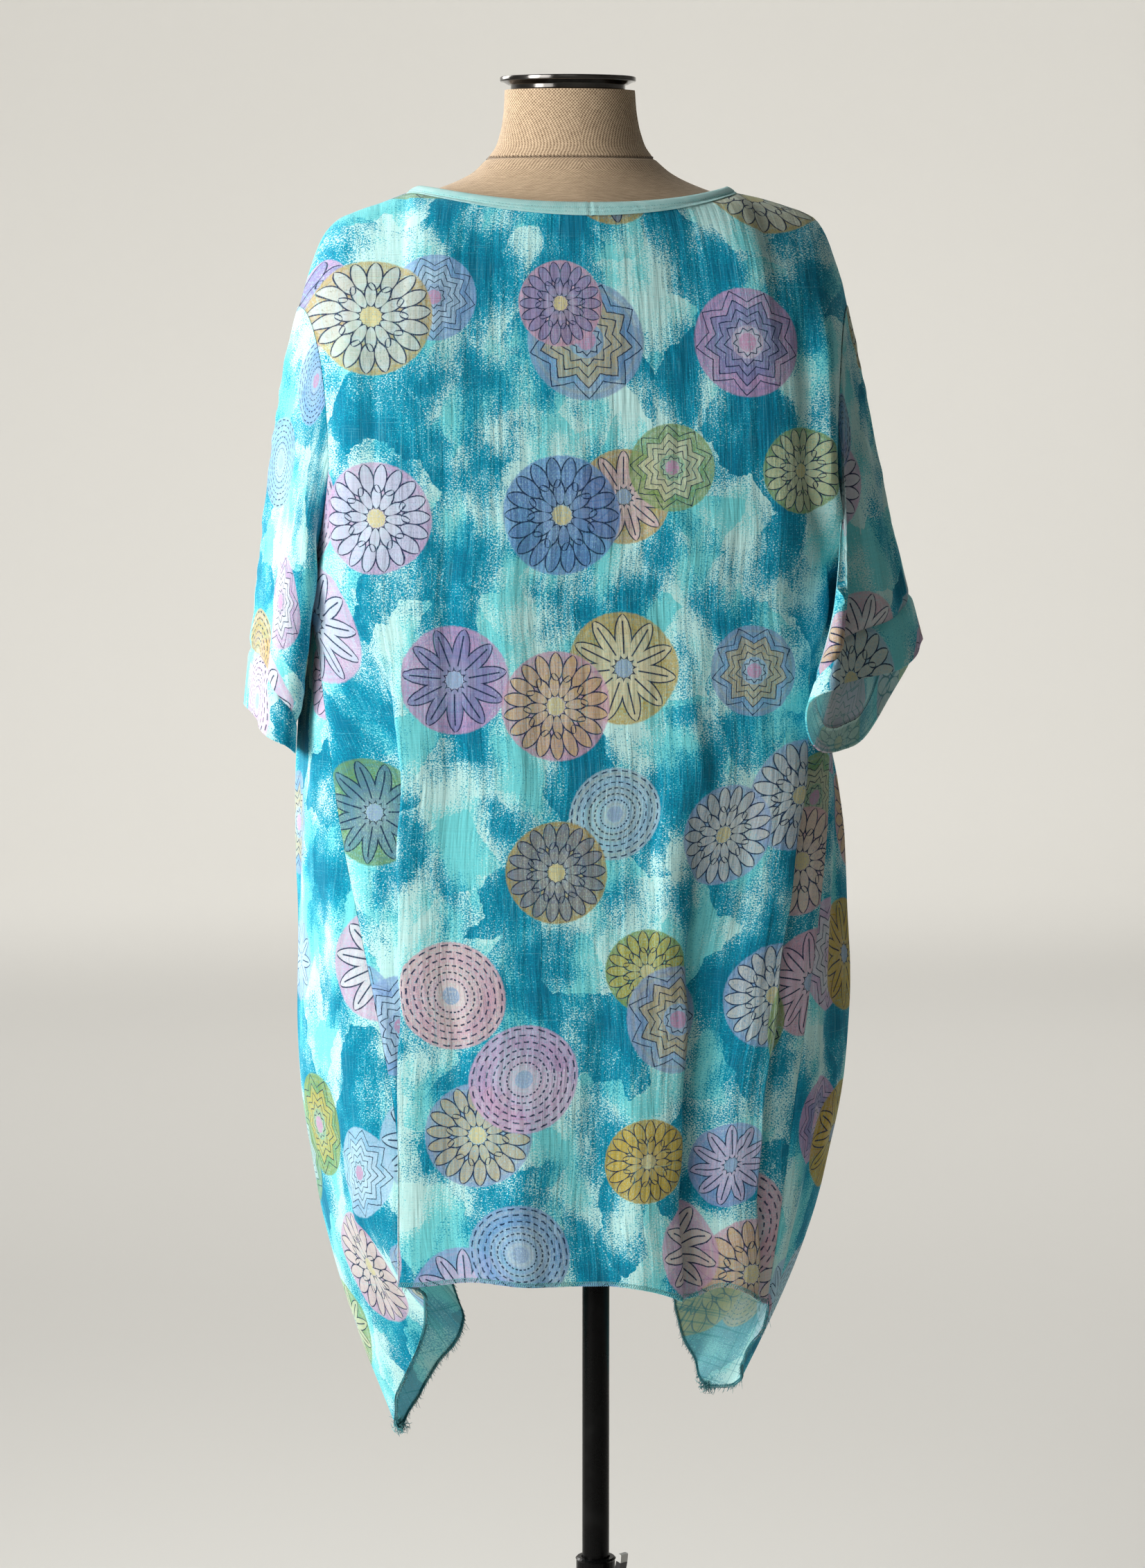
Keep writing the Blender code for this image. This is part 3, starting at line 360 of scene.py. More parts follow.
# ---------------------------------------------------------------- the hanging cloth
@dataclass(frozen=True)
class Half:
    """Half of the hanging front or back, from its middle to its side seam or armhole."""

    face: Face
    side: Side

    @property
    def name(self) -> str:
        """The half's column in the tables."""
        return f"{self.face.name}_{self.side.name}".lower()

    @property
    def folds_end(self) -> float:
        """Distance along the cloth at which the last lap ends."""
        return max(lap.start + lap.span for lap in LAPS[self.face, self.side])

    @lru_cache(maxsize=None)
    def section(self, z: float) -> tuple[np.ndarray, np.ndarray, np.ndarray]:
        """The body's section from the middle of the face to the side.

        Args:
            z: Its height.

        Returns:
            Lengths along it, outward distances and depths.
        """
        half = BODY.read(self.side.name.lower(), z)
        reach = BODY.read(self.face.name.lower(), z)
        power = 2 / BODY.read("square", z)
        angle = np.linspace(0, math.pi / 2, 120)
        out = half * np.sin(angle) ** power
        deep = reach * np.cos(angle) ** power
        along = np.concatenate([[0], np.cumsum(np.hypot(np.diff(out), np.diff(deep)))])
        return along, out, deep

    def on_section(self, z: float, along: float, lift: float = 0.0) -> Spot:
        """A point of the section.

        Args:
            z: The section's height.
            along: Length from the middle of the face.
            lift: How far out the point is moved.

        Returns:
            The point.
        """
        lengths, out, deep = self.section(z)
        step = 0.004
        stops = (max(along - step, 0), along, along + step)
        x, y = np.interp(stops, lengths, out), np.interp(stops, lengths, deep)
        dx, dy = x[2] - x[0], y[2] - y[0]
        size = math.hypot(dx, dy)
        return self.side * (x[1] - lift * dy / size), self.face * (y[1] + lift * dx / size), z

    @lru_cache(maxsize=None)
    def seam_length(self, z: float) -> float:
        """Length from the middle of the face to the side seam or the armhole.

        Args:
            z: The section's height.

        Returns:
            The length along the section.
        """
        lengths, out, deep = self.section(z)
        if z >= UNDERARM_Z:
            rise = min((z - UNDERARM_Z) / (BLADE_Z - UNDERARM_Z), 1.0)
            widening = math.sin(rise * math.pi / 2)
            reach = UNDERARM_HALF + (ARMHOLE_DEPTH - UNDERARM_HALF) * widening
            return float(np.interp(-reach, -deep, lengths))
        slanted = float(np.interp(SEAMS.read(self.name, z), out, lengths))
        at_top = float(np.interp(-UNDERARM_HALF, -deep, lengths))
        top_z = SEAMS.key[-1]
        return slanted + (at_top - slanted) * ease((z - top_z) / (UNDERARM_Z - top_z))

    def fold_shift(self, cloth: float, z: float) -> Pair:
        """What the folds do at a distance along the cloth.

        Args:
            cloth: The distance from the middle.
            z: Height.

        Returns:
            The cloth that they hide so far, and how much they lift it.
        """
        hidden = lift = 0.0
        for lap in LAPS[self.face, self.side]:
            open_share = grown(lap, z)
            t = (cloth - lap.start) / lap.span
            hidden += lap.excess * open_share * ease(t)
            over = ease(t + 1) * (1 - ease((t - 0.1) / 0.5))
            under = ease((t - 0.4) / 0.5) * (1 - ease((t - 0.9) / 1.3))
            lift += lap.lift * open_share * (over - under) / 2
        for swell in SWELLS[self.face, self.side]:
            lift += swell.height * grown(swell, z) * hill((cloth - swell.at) / swell.width)
        return hidden, lift

    def top_point(self, along: float, end: float) -> Vector:
        """A point of the upper edge.

        Args:
            along: Distance along the cloth.
            end: The whole half's width.

        Returns:
            The point on the neckline or on the shoulder seam.
        """
        side = self.side.name.lower()
        if along < NECK_AT:
            share = along / NECK_AT
            power = 2.4 if self.face == Face.BACK else 2.6
            low = NECK_LOW_Z[self.face]
            reach = NECK_REACH[self.face] * math.sqrt(max(1 - share**2.2, 0))
            z = low + (SHOULDER.read(side, 0) - low) * share**power
            out = NECK_HALF_WIDTH * share
            return Vector((self.side * out, self.face * max(reach, RIDGE_SLOPE), z))
        share = (along - NECK_AT) / (end - NECK_AT)
        out = NECK_HALF_WIDTH + (SHOULDER_END[self.side] - NECK_HALF_WIDTH) * share
        return Vector((self.side * out, self.face * RIDGE_SLOPE, SHOULDER.read(side, out)))


class Place(NamedTuple):
    """A column of a half: its distance along the cloth from the middle or, past the last fold,
    its share of the way to the seam."""

    half: Half
    cloth: float
    share: float | None = None

    def point(self, z: float) -> tuple[Spot, float, float]:
        """The column's point at a height below the yoke.

        Args:
            z: The height.

        Returns:
            The point, its distance along the cloth, and its distance from the seam.
        """
        half, cloth = self.half, self.cloth
        last = half.seam_length(z) - SEAM_GAP / 2
        if self.share is None:
            hidden, lift = half.fold_shift(cloth, z)
            along = cloth - hidden
        else:
            start = half.folds_end
            hidden, _ = half.fold_shift(start, z)
            first = start - hidden
            along = first + (last - first) * self.share
            cloth = start + (last - first) * self.share
            _, lift = half.fold_shift(cloth, z)
            lift *= 1 - ease((self.share - 0.4) / 0.6)
        return half.on_section(z, along, lift), cloth, last - along

    def yoke_point(self, turn: float) -> tuple[Vector, float, float]:
        """The column's point above the shoulder blades.

        Args:
            turn: 0 at the blades to 1 at the top edge.

        Returns:
            The point, its distance along the cloth, and its distance from the armhole.
        """
        (x, y, z), cloth, to_seam = self.point(BLADE_Z)
        top = self.half.top_point(cloth, self.half.seam_length(BLADE_Z) - SEAM_GAP / 2)
        angle = turn * math.pi / 2
        cos, sin = math.cos(angle), math.sin(angle)
        flat = 1 - ease((abs(top.x) - 0.06) / 0.1)
        drop = cos * (1 - flat) + (1 - sin**1.5) * flat
        point = (top.x + (x - top.x) * cos, top.y + (y - top.y) * drop, z + (top.z - z) * sin)
        return Vector(point), cloth, to_seam


@dataclass(frozen=True)
class Flank:
    """The tunic's side: the section of its panel, and its armhole."""

    side: Side

    def lengths(self, z: float) -> Pair:
        """Lengths of the panel's section behind and in front of the side."""
        halves, below = [Half(face, self.side) for face in Face], min(z, UNDERARM_Z - 1e-6)
        return tuple(half.section(z)[0][-1] - half.seam_length(below) for half in halves)

    def point(self, z: float, share: float, lift: float = 0.0, trim: float = 0.0) -> Spot:
        """A point of the panel on the body's section.

        Args:
            z: Height.
            share: Share of the way from its back seam to its front seam.
            lift: How far out the point is moved.
            trim: What is left out at each edge, besides the seam's gap.

        Returns:
            The point.
        """
        back, front = self.lengths(z)
        gone = SEAM_GAP / 2 + trim + share * (back + front - SEAM_GAP - 2 * trim)
        half = Half(Face.BACK if gone <= back else Face.FRONT, self.side)
        return half.on_section(z, half.section(z)[0][-1] - abs(back - gone), lift)

    @lru_cache(maxsize=None)
    def armhole(self, turn: float) -> Vector:
        """A point of the armhole.

        Args:
            turn: Degrees, 0 at the shoulder, 90 at the back and 180 underneath.

        Returns:
            The point.
        """
        turn %= 360
        angle = math.radians(turn)
        sin, cos = math.sin(angle), math.cos(angle)
        half = Half(Face.BACK if sin >= 0 else Face.FRONT, self.side)
        if cos >= 0:
            level = 1 - abs(math.asin(sin)) / (math.pi / 2)
            point, _, _ = Place(half, 0, 1.0).yoke_point(level)
            return Vector((point.x, 0.0 if turn == 0 else point.y, point.z))
        sweep, across = abs(sin), 0.12
        if sweep < across:  # across the top of the side panel
            share = 0.5 - 0.5 * math.copysign(sweep / across, sin)
            return Vector(self.point(UNDERARM_Z, share))
        z = BLADE_Z + (BLADE_Z - UNDERARM_Z) * cos
        return Vector(half.on_section(z, half.seam_length(z)))


# ---------------------------------------------------------------- creases and sheets
@dataclass(frozen=True)
class Creases:
    """A family of like creases: how many there are, their sizes, lean and heights."""

    count: int
    length: Pair
    width: Pair
    height: Pair
    lean: float = 0.06
    low: float = 0.0
    high: float = 2.0
    upright: bool = True

    def heights(self, u: np.ndarray, v: np.ndarray, seed: int) -> np.ndarray:
        """What the family adds to a cloth.

        Args:
            u: The points' places across the flat cut.
            v: The points' places up the flat cut.
            seed: Of the family's places and sizes.

        Returns:
            The height at each point.
        """
        draw = np.random.default_rng(seed)
        total = np.zeros_like(u)
        low, high = max(self.low, float(v.min())), min(self.high, float(v.max()))
        for _ in range(self.count):
            at_u = draw.uniform(float(u.min()), float(u.max()))
            at_v = draw.uniform(low, high)
            half = draw.uniform(*self.length) / 2
            width = draw.uniform(*self.width)
            height = draw.uniform(*self.height) * draw.choice((-1.0, 1.0), p=(0.4, 0.6))
            lean = draw.normal(0, self.lean) + (0 if self.upright else draw.choice((-0.9, 0.9)))
            bend = draw.normal(0, 0.25)
            skew = draw.uniform(0.6, 1.5)
            du, dv = u - at_u, v - at_v
            along = (dv * math.cos(lean) + du * math.sin(lean)) / half
            across = du * math.cos(lean) - dv * math.sin(lean) - bend * half * along**2 * 0.3
            across = across / np.where(across > 0, width * skew, width / skew)
            near = (np.abs(along) < 1) & (np.abs(across) < 3)
            total[near] += height * np.exp(-across[near] ** 2) * (1 - along[near] ** 2) ** 2
        return total


def crumple(families: Sequence[Creases], u: np.ndarray, v: np.ndarray, seed: int) -> np.ndarray:
    """The height that families of creases add, at places across and up a flat cut."""
    return sum(family.heights(u, v, seed + i) for i, family in enumerate(families))


PANEL_CREASES = (
    Creases(46, (0.18, 0.52), (0.009, 0.02), (0.001, 0.0032), 0.05, 0.5, 1.3),
    Creases(260, (0.03, 0.14), (0.005, 0.0085), (0.00025, 0.00075), 0.07),
    Creases(34, (0.05, 0.16), (0.006, 0.012), (0.0004, 0.0012), 0.25, 1.2, 1.5, False),
)
SIDE_CREASES = (
    Creases(26, (0.12, 0.4), (0.008, 0.017), (0.001, 0.003), 0.07),
    Creases(130, (0.03, 0.11), (0.005, 0.0085), (0.0002, 0.0007), 0.12),
)
SLEEVE_CREASES = (
    Creases(20, (0.1, 0.3), (0.007, 0.015), (0.0006, 0.0022), 0.1),
    Creases(80, (0.03, 0.09), (0.0055, 0.0085), (0.0002, 0.0006), 0.2),
    Creases(14, (0.04, 0.11), (0.006, 0.011), (0.0006, 0.0016), 0.25, 0.05, 0.2, False),
)


def unit(vectors: np.ndarray) -> np.ndarray:
    """The same vectors, each with a length of 1."""
    return vectors / np.maximum(np.linalg.norm(vectors, axis=-1, keepdims=True), 1e-12)


def grid_normals(points: np.ndarray, wrap: bool) -> np.ndarray:
    """Unit normals of a grid, on the side that its columns cross its rows to.

    Args:
        points: Rows by columns by 3.
        wrap: True where the first and last columns are one.

    Returns:
        Rows by columns by 3.
    """
    if wrap:
        padded = np.concatenate([points[:, -2:-1], points, points[:, 1:2]], axis=1)
        across = np.gradient(padded, axis=1)[:, 1:-1]
    else:
        across = np.gradient(points, axis=1)
    return unit(np.cross(across, np.gradient(points, axis=0)))


def row_lengths(points: np.ndarray) -> np.ndarray:
    """Lengths along each row of a grid, from its first column."""
    steps = np.linalg.norm(np.diff(points, axis=1), axis=2)
    return np.concatenate([np.zeros((len(points), 1)), np.cumsum(steps, axis=1)], axis=1)


def choose(*objects: Piece) -> None:
    """Selects these objects alone and makes the first one active."""
    bpy.ops.object.select_all(action="DESELECT")
    for one in objects:
        one.select_set(True)
    bpy.context.view_layer.objects.active = objects[0]


def apply_all(piece: Piece) -> None:
    """Applies every modifier of a piece, from the top.

    Args:
        piece: The piece.
    """
    choose(piece)
    for modifier in list(piece.modifiers):
        bpy.ops.object.modifier_apply(modifier=modifier.name)


def mesh_piece(
    name: str, points: np.ndarray, faces: Sequence[Sequence[int]], finish: Finish
) -> Piece:
    """A piece from its points and faces, shaded smooth.

    Args:
        name: The piece's name.
        points: Its points.
        faces: Its faces, as places in the points.
        finish: Its material.

    Returns:
        The piece.
    """
    mesh = bpy.data.meshes.new(name)
    mesh.from_pydata(np.asarray(points).reshape(-1, 3).tolist(), [], faces)
    mesh.shade_smooth()
    mesh.materials.append(finish)
    piece = bpy.data.objects.new(name, mesh)
    bpy.context.scene.collection.objects.link(piece)
    return piece


CORNERS = ((0, 0), (0, 1), (1, 1), (1, 0))  # of a face of a grid: row and column


def grid_faces(
    rows: int, columns: int, corners: Sequence[tuple[int, int]]
) -> list[list[tuple[int, int]]]:
    """The faces between the points of a grid.

    Args:
        rows: How many rows it has.
        columns: How many columns.
        corners: A face's corners in their order.

    Returns:
        Each face's corners, by row and column.
    """
    return [
        [(r + i, c + j) for i, j in corners] for r in range(rows - 1) for c in range(columns - 1)
    ]


def grid_piece(
    name: str, points: np.ndarray, cut: np.ndarray, faces: Sequence[Sequence[tuple[int, int]]],
    finishes: Sequence[Finish],
) -> Piece:
    """A piece from a grid of points, mapped by its place on the flat cut.

    Args:
        name: The piece's name.
        points: Rows by columns by 3.
        cut: Each point's place on the flat cut. Where it has a column more than the points, the
            last column lies on the first.
        faces: Its faces, by row and column.
        finishes: Its materials.

    Returns:
        The piece.
    """
    kept = points.shape[1]
    places = [[row * kept + column % kept for row, column in face] for face in faces]
    piece = mesh_piece(name, points, places, finishes[0])
    for finish in finishes[1:]:
        piece.data.materials.append(finish)
    flat = np.array([cut[corner] for face in faces for corner in face], np.float32)
    piece.data.uv_layers.new(name="cut").data.foreach_set("uv", flat.ravel())
    return piece


def sheet_piece(
    name: str, points: np.ndarray, cut: np.ndarray, finishes: tuple[Finish, Finish], flip: bool,
    wrap: bool = False, wall: float = CLOTH,
) -> Piece:
    """A sheet of cloth with a wall, mapped by its place on the flat cut.

    Args:
        name: The piece's name.
        points: Rows by columns by 3.
        cut: Rows by columns by 2, each point's place on the flat cut.
        finishes: Materials of the outside and the inside.
        flip: Turns the faces round, so that they point outwards.
        wrap: True where the first and last columns are one.
        wall: The cloth's thickness.

    Returns:
        The piece.
    """
    rows, columns = points.shape[:2]
    faces = grid_faces(rows, columns, CORNERS[::-1] if flip else CORNERS)
    piece = grid_piece(name, points[:, : columns - wrap], cut, faces, finishes)
    thick = piece.modifiers.new("wall", "SOLIDIFY")
    thick.thickness = wall
    thick.offset = 0
    thick.use_quality_normals = True
    thick.material_offset = 1
    apply_all(piece)
    piece.data.set_sharp_from_angle(angle=math.radians(55))
    return piece


def tube_pieces(
    name: str, paths: np.ndarray, radii: np.ndarray | float, finish: Finish, sides: int = 4
) -> Piece:
    """Many short closed tubes in one piece, such as stitches and loose threads.

    Args:
        name: The piece's name.
        paths: Tubes by points by 3.
        radii: One radius, or tubes by points.
        finish: The material.
        sides: Sides of each tube.

    Returns:
        The piece.
    """
    count, steps = paths.shape[:2]
    along = unit(np.gradient(paths, axis=1))
    first = unit(np.cross(along, np.array((0.31, 0.22, 0.92))))
    second = np.cross(along, first)
    radii = np.broadcast_to(radii, (count, steps))[:, :, None]
    rings = [
        paths + (first * math.cos(a) + second * math.sin(a)) * radii
        for a in np.arange(sides) * 2 * math.pi / sides
    ]
    points = np.stack(rings, axis=2).reshape(-1, 3)
    faces = []
    for tube in range(count):
        base = tube * steps * sides
        faces.append([base + k for k in reversed(range(sides))])
        faces.append([base + (steps - 1) * sides + k for k in range(sides)])
        for step in range(steps - 1):
            low = base + step * sides
            for k in range(sides):
                after = (k + 1) % sides
                faces.append([low + k, low + after, low + sides + after, low + sides + k])
    return mesh_piece(name, points, faces, finish)


class Edge(NamedTuple):
    """A free edge of a finished sheet: its points, the way into the cloth, and outwards."""

    points: np.ndarray
    inward: np.ndarray
    normals: np.ndarray

    @property
    def along(self) -> np.ndarray:
        """The way along the edge at each point."""
        return unit(np.gradient(self.points, axis=0))

    def closed(self) -> "Edge":
        """The edge with its first point repeated at the end."""
        return Edge(*(np.concatenate([values, values[:1]]) for values in self))

    def resampled(self, step: float) -> "Edge":
        """The edge at even steps.

        Args:
            step: The spacing.

        Returns:
            A new edge.
        """
        gone = np.linalg.norm(np.diff(self.points, axis=0), axis=1)
        lengths = np.concatenate([[0], np.cumsum(gone)])
        stops = np.arange(step, lengths[-1] - step, step)
        parts = []
        for values in self:
            columns = [np.interp(stops, lengths, values[:, i]) for i in range(3)]
            parts.append(np.stack(columns, axis=1))
        points, inward, normals = parts
        return Edge(points, unit(inward), unit(normals))


def row_edge(points: np.ndarray, normals: np.ndarray, row: int, step: int) -> Edge:
    """The edge of a grid along an outer row. The cloth goes on `step` rows away."""
    return Edge(points[row], points[row + step] - points[row], normals[row])


@dataclass(frozen=True)
class Overlock:
    """Overlocking round a raw edge: slanted loops, and a row of stitches above them."""

    spacing: float = 0.0019
    reach: float = 0.004
    radius: float = 0.00028
    wall: float = 0.0007

    def sew(self, name: str, edge: Edge, finish: Finish) -> Piece:
        """Sews along an edge.

        Args:
            name: The piece's name.
            edge: The cloth's edge.
            finish: The thread's material.

        Returns:
            The stitches, in one piece.
        """
        fine = edge.resampled(self.spacing)
        along = fine.along
        draw = np.random.default_rng(len(name) * 31 + len(fine.points))
        reach = self.reach * draw.uniform(0.85, 1.1, (len(fine.points), 1))
        slant = self.spacing * draw.uniform(0.5, 0.9, (len(fine.points), 1))
        out = fine.normals * (self.wall + self.radius * 0.6)
        tip = fine.points - fine.inward * self.radius
        loops = np.stack(
            [
                fine.points + fine.inward * reach + out - along * slant,
                fine.points + fine.inward * reach * 0.3 + out * 1.15,
                tip,
                fine.points + fine.inward * reach * 0.3 - out * 1.15,
                fine.points + fine.inward * reach - out + along * slant,
            ],
            axis=1,
        )
        base = fine.points + fine.inward * self.reach + fine.normals * (self.wall + 0.0001)
        half = along * self.spacing * 0.42
        needle = np.stack([base - half, base - half * 0.2 + out * 0.15, base + half], axis=1)
        spare = needle[:, -1:].repeat(2, axis=1) + np.array([[[0, 0, 0], [0, 0, 1e-5]]])
        needle = np.concatenate([needle, spare + half[:, None] * 0.02], axis=1)
        return tube_pieces(name, np.concatenate([loops, needle]), self.radius, finish)


@dataclass(frozen=True)
class Fringe:
    """Loose thread ends along a raw edge."""

    spacing: float = 0.0009
    length: Pair = (0.002, 0.007)
    radius: float = 0.00026

    def fray(self, name: str, edge: Edge, finish: Finish) -> Piece:
        """Frays an edge.

        Args:
            name: The piece's name.
            edge: The cloth's edge.
            finish: The thread's material.

        Returns:
            The thread ends, in one piece.
        """
        fine = edge.resampled(self.spacing)
        count = len(fine.points)
        along = fine.along
        draw = np.random.default_rng(len(name) * 17 + count)
        length = draw.uniform(*self.length, (count, 1)) * draw.uniform(0.3, 1, (count, 1))
        lean = along * draw.normal(0, 0.55, (count, 1))
        lean += fine.normals * draw.normal(0, 0.35, (count, 1))
        droop = -UP * draw.uniform(0, 0.5, (count, 1))
        start = fine.points + fine.inward * 0.0008
        away = -fine.inward + lean
        paths = [
            start + (away * share + droop * share**2) * length + along * bend * length
            for share, bend in ((0.0, 0.0), (0.4, 0.08), (0.75, -0.05), (1.0, 0.05))
        ]
        radii = self.radius * np.array([[1.0, 0.9, 0.7, 0.35]])
        return tube_pieces(name, np.stack(paths, axis=1), radii, finish, sides=3)

    def tuft(self, name: str, tip: np.ndarray, count: int, finish: Finish) -> Piece:
        """A small tangle of thread ends at a point of the cloth.

        Args:
            name: The piece's name.
            tip: The point.
            count: How many threads.
            finish: The thread's material.

        Returns:
            The tangle, in one piece.
        """
        draw = np.random.default_rng(len(name) * 7 + count)
        start = tip + draw.normal(0, 0.0022, (count, 3)) + 0.0025 * UP
        away = unit(draw.normal(0, 1, (count, 3)) - 0.9 * UP)
        curl = np.cross(away, draw.normal(0, 1, (count, 3)))
        length = draw.uniform(0.003, 0.0085, (count, 1))
        paths = [
            start + (away * share + curl * bend) * length
            for share, bend in ((0.0, 0.0), (0.3, 0.22), (0.6, 0.26), (0.85, 0.1), (1.0, -0.12))
        ]
        radii = self.radius * 1.25 * np.array([[1.0, 1.0, 0.9, 0.75, 0.5]])
        return tube_pieces(name, np.stack(paths, axis=1), radii, finish)


# ---------------------------------------------------------------- the pen that draws materials
Socket = bpy.types.NodeSocket
Colour = Spot


class Pen:
    """A material's nodes, put together one by one."""

    def __init__(self, name: str, roughness: float, metallic: float = 0.0) -> None:
        """Starts a material with one Principled shader.

        Args:
            name: The material's name.
            roughness: The shader's roughness.
            metallic: 1 for bare metal.
        """
        self.material = bpy.data.materials.new(name)
        self.material.use_nodes = True
        self.tree = self.material.node_tree
        self.shader = self.tree.nodes["Principled BSDF"]
        self.set("Roughness", roughness)
        self.set("Metallic", metallic)

    def node(
        self, kind: str, inputs: dict[str | int, object], **settings: object
    ) -> Sequence[Socket]:
        """A new node.

        Args:
            kind: Its type, without its prefix.
            inputs: What its inputs are linked or set to.
            settings: Its attributes.

        Returns:
            Its outputs.
        """
        made = self.tree.nodes.new("ShaderNode" + kind)
        for name, value in settings.items():
            setattr(made, name, value)
        for name, value in inputs.items():
            self.feed(made.inputs[name], value)
        return made.outputs

    def feed(self, socket: Socket, value: object) -> None:
        """Links or sets a socket.

        Args:
            socket: The input.
            value: Another node's output, a number, or a colour or vector.
        """
        if isinstance(value, Socket):
            self.tree.links.new(value, socket)
        elif isinstance(value, tuple) and socket.type == "RGBA" and len(value) == 3:
            socket.default_value = (*value, 1)
        else:
            socket.default_value = value

    def set(self, name: str, value: object) -> None:
        """Feeds one of the shader's own sockets."""
        self.feed(self.shader.inputs[name], value)

    def cut(self) -> Socket:
        """The place on the flat cut, in metres."""
        return self.node("UVMap", {}, uv_map="cut")["UV"]

    def place(self) -> Socket:
        """The place in the object's own coordinates, in metres."""
        return self.node("TexCoord", {})["Object"]

    def sum(self, operation: str, *values: object, clamp: bool = False) -> Socket:
        """The result of a sum, held between 0 and 1 where `clamp` is set."""
        return self.node("Math", dict(enumerate(values)), operation=operation, use_clamp=clamp)[0]

    # The commonest sums. `fitted` is the first value times the second, plus the third.
    plus = partialmethod(sum, "ADD")
    less = partialmethod(sum, "SUBTRACT")
    times = partialmethod(sum, "MULTIPLY")
    over = partialmethod(sum, "DIVIDE")
    fitted = partialmethod(sum, "MULTIPLY_ADD")
    most = partialmethod(sum, "MAXIMUM")
    size = partialmethod(sum, "ABSOLUTE")
    rest = partialmethod(sum, "FRACT")
    sine = partialmethod(sum, "SINE")

    def swayed(self, base: object, noise: Socket, weight: float) -> Socket:
        """A value moved up and down by noise around 0.5."""
        return self.fitted(self.less(noise, 0.5), weight, base)

    def vector(self, operation: str, *values: object) -> Socket:
        """The result of a sum of vectors."""
        made = self.node("VectorMath", dict(enumerate(values)), operation=operation)
        return made["Value" if operation == "LENGTH" else "Vector"]

    def parts(self, kind: str, value: Socket) -> Sequence[Socket]:
        """The three parts of a colour ("Color") or of a vector ("XYZ")."""
        return self.node("Separate" + kind, {0: value})[:3]

    def stretched(self, at: Socket, x: float, y: float, z: float = 1.0) -> Socket:
        """A place scaled along each axis."""
        return self.vector("MULTIPLY", at, (x, y, z))

    def mix(self, share: object, first: object, second: object, kind: str = "MIX") -> Socket:
        """Two colours mixed, with this share of the second."""
        inputs = {0: share, 6: first, 7: second}
        return self.node("Mix", inputs, data_type="RGBA", blend_type=kind)[2]

    def step(self, value: object, low: float, high: float) -> Socket:
        """A soft step from 0 at `low` to 1 at `high`."""
        inputs = {0: value, 1: low, 2: high}
        return self.node("MapRange", inputs, interpolation_type="SMOOTHSTEP")[0]

    def band(self, value: object, low: float, high: float, soft: float = 0.02) -> Socket:
        """1 between `low` and `high`, and 0 outside, with edges as wide as `soft`."""
        gone, half = self.size(self.less(value, (low + high) / 2)), (high - low) / 2
        return self.less(1.0, self.step(gone, half - soft / 2, half + soft / 2))

    def noise(self, at: Socket, scale: float, detail: float = 2.0, output: str = "Fac") -> Socket:
        """Smooth noise, about 0 to 1, by its grain per metre and its finer layers."""
        return self.node("TexNoise", {"Vector": at, "Scale": scale, "Detail": detail})[output]

    def grain(self, at: Socket, x: float, y: float, scale: float, detail: float = 2.0) -> Socket:
        """Noise that is drawn out along the axes with small shares."""
        return self.noise(self.stretched(at, x, y), scale, detail)

    def shaken(self, at: Socket, scale: float, size: float) -> Socket:
        """A place moved by noise of this grain per metre, by up to this size."""
        away = self.vector("SUBTRACT", self.noise(at, scale, output="Color"), (0.5, 0.5, 0.5))
        return self.vector("ADD", at, self.stretched(away, size * 2, size * 2, size * 2))

    def ramp(self, value: Socket, *colours: Colour) -> Socket:
        """One of some colours, by a value from 0 to 1.

        Args:
            value: The chooser.
            colours: Colours of equal shares.

        Returns:
            The colour.
        """
        made = self.tree.nodes.new("ShaderNodeValToRGB")
        made.color_ramp.interpolation = "CONSTANT"
        stops = made.color_ramp.elements
        while len(stops) < len(colours):
            stops.new(1.0)
        for i, colour in enumerate(colours):
            stops[i].position = i / len(colours)
            stops[i].color = (*colour, 1)
        self.feed(made.inputs[0], value)
        return made.outputs[0]

    def bump(self, height: Socket, distance: float, strength: float = 1.0) -> None:
        """Raises the surface by a height from 0 to 1, over any earlier bump.

        Args:
            height: The height.
            distance: What 1 stands for, in metres.
            strength: The bump's strength.
        """
        inputs = {"Strength": strength, "Distance": distance, "Height": height}
        normal = self.shader.inputs["Normal"]
        if normal.is_linked:
            inputs["Normal"] = normal.links[0].from_socket
        self.feed(normal, self.node("Bump", inputs)["Normal"])


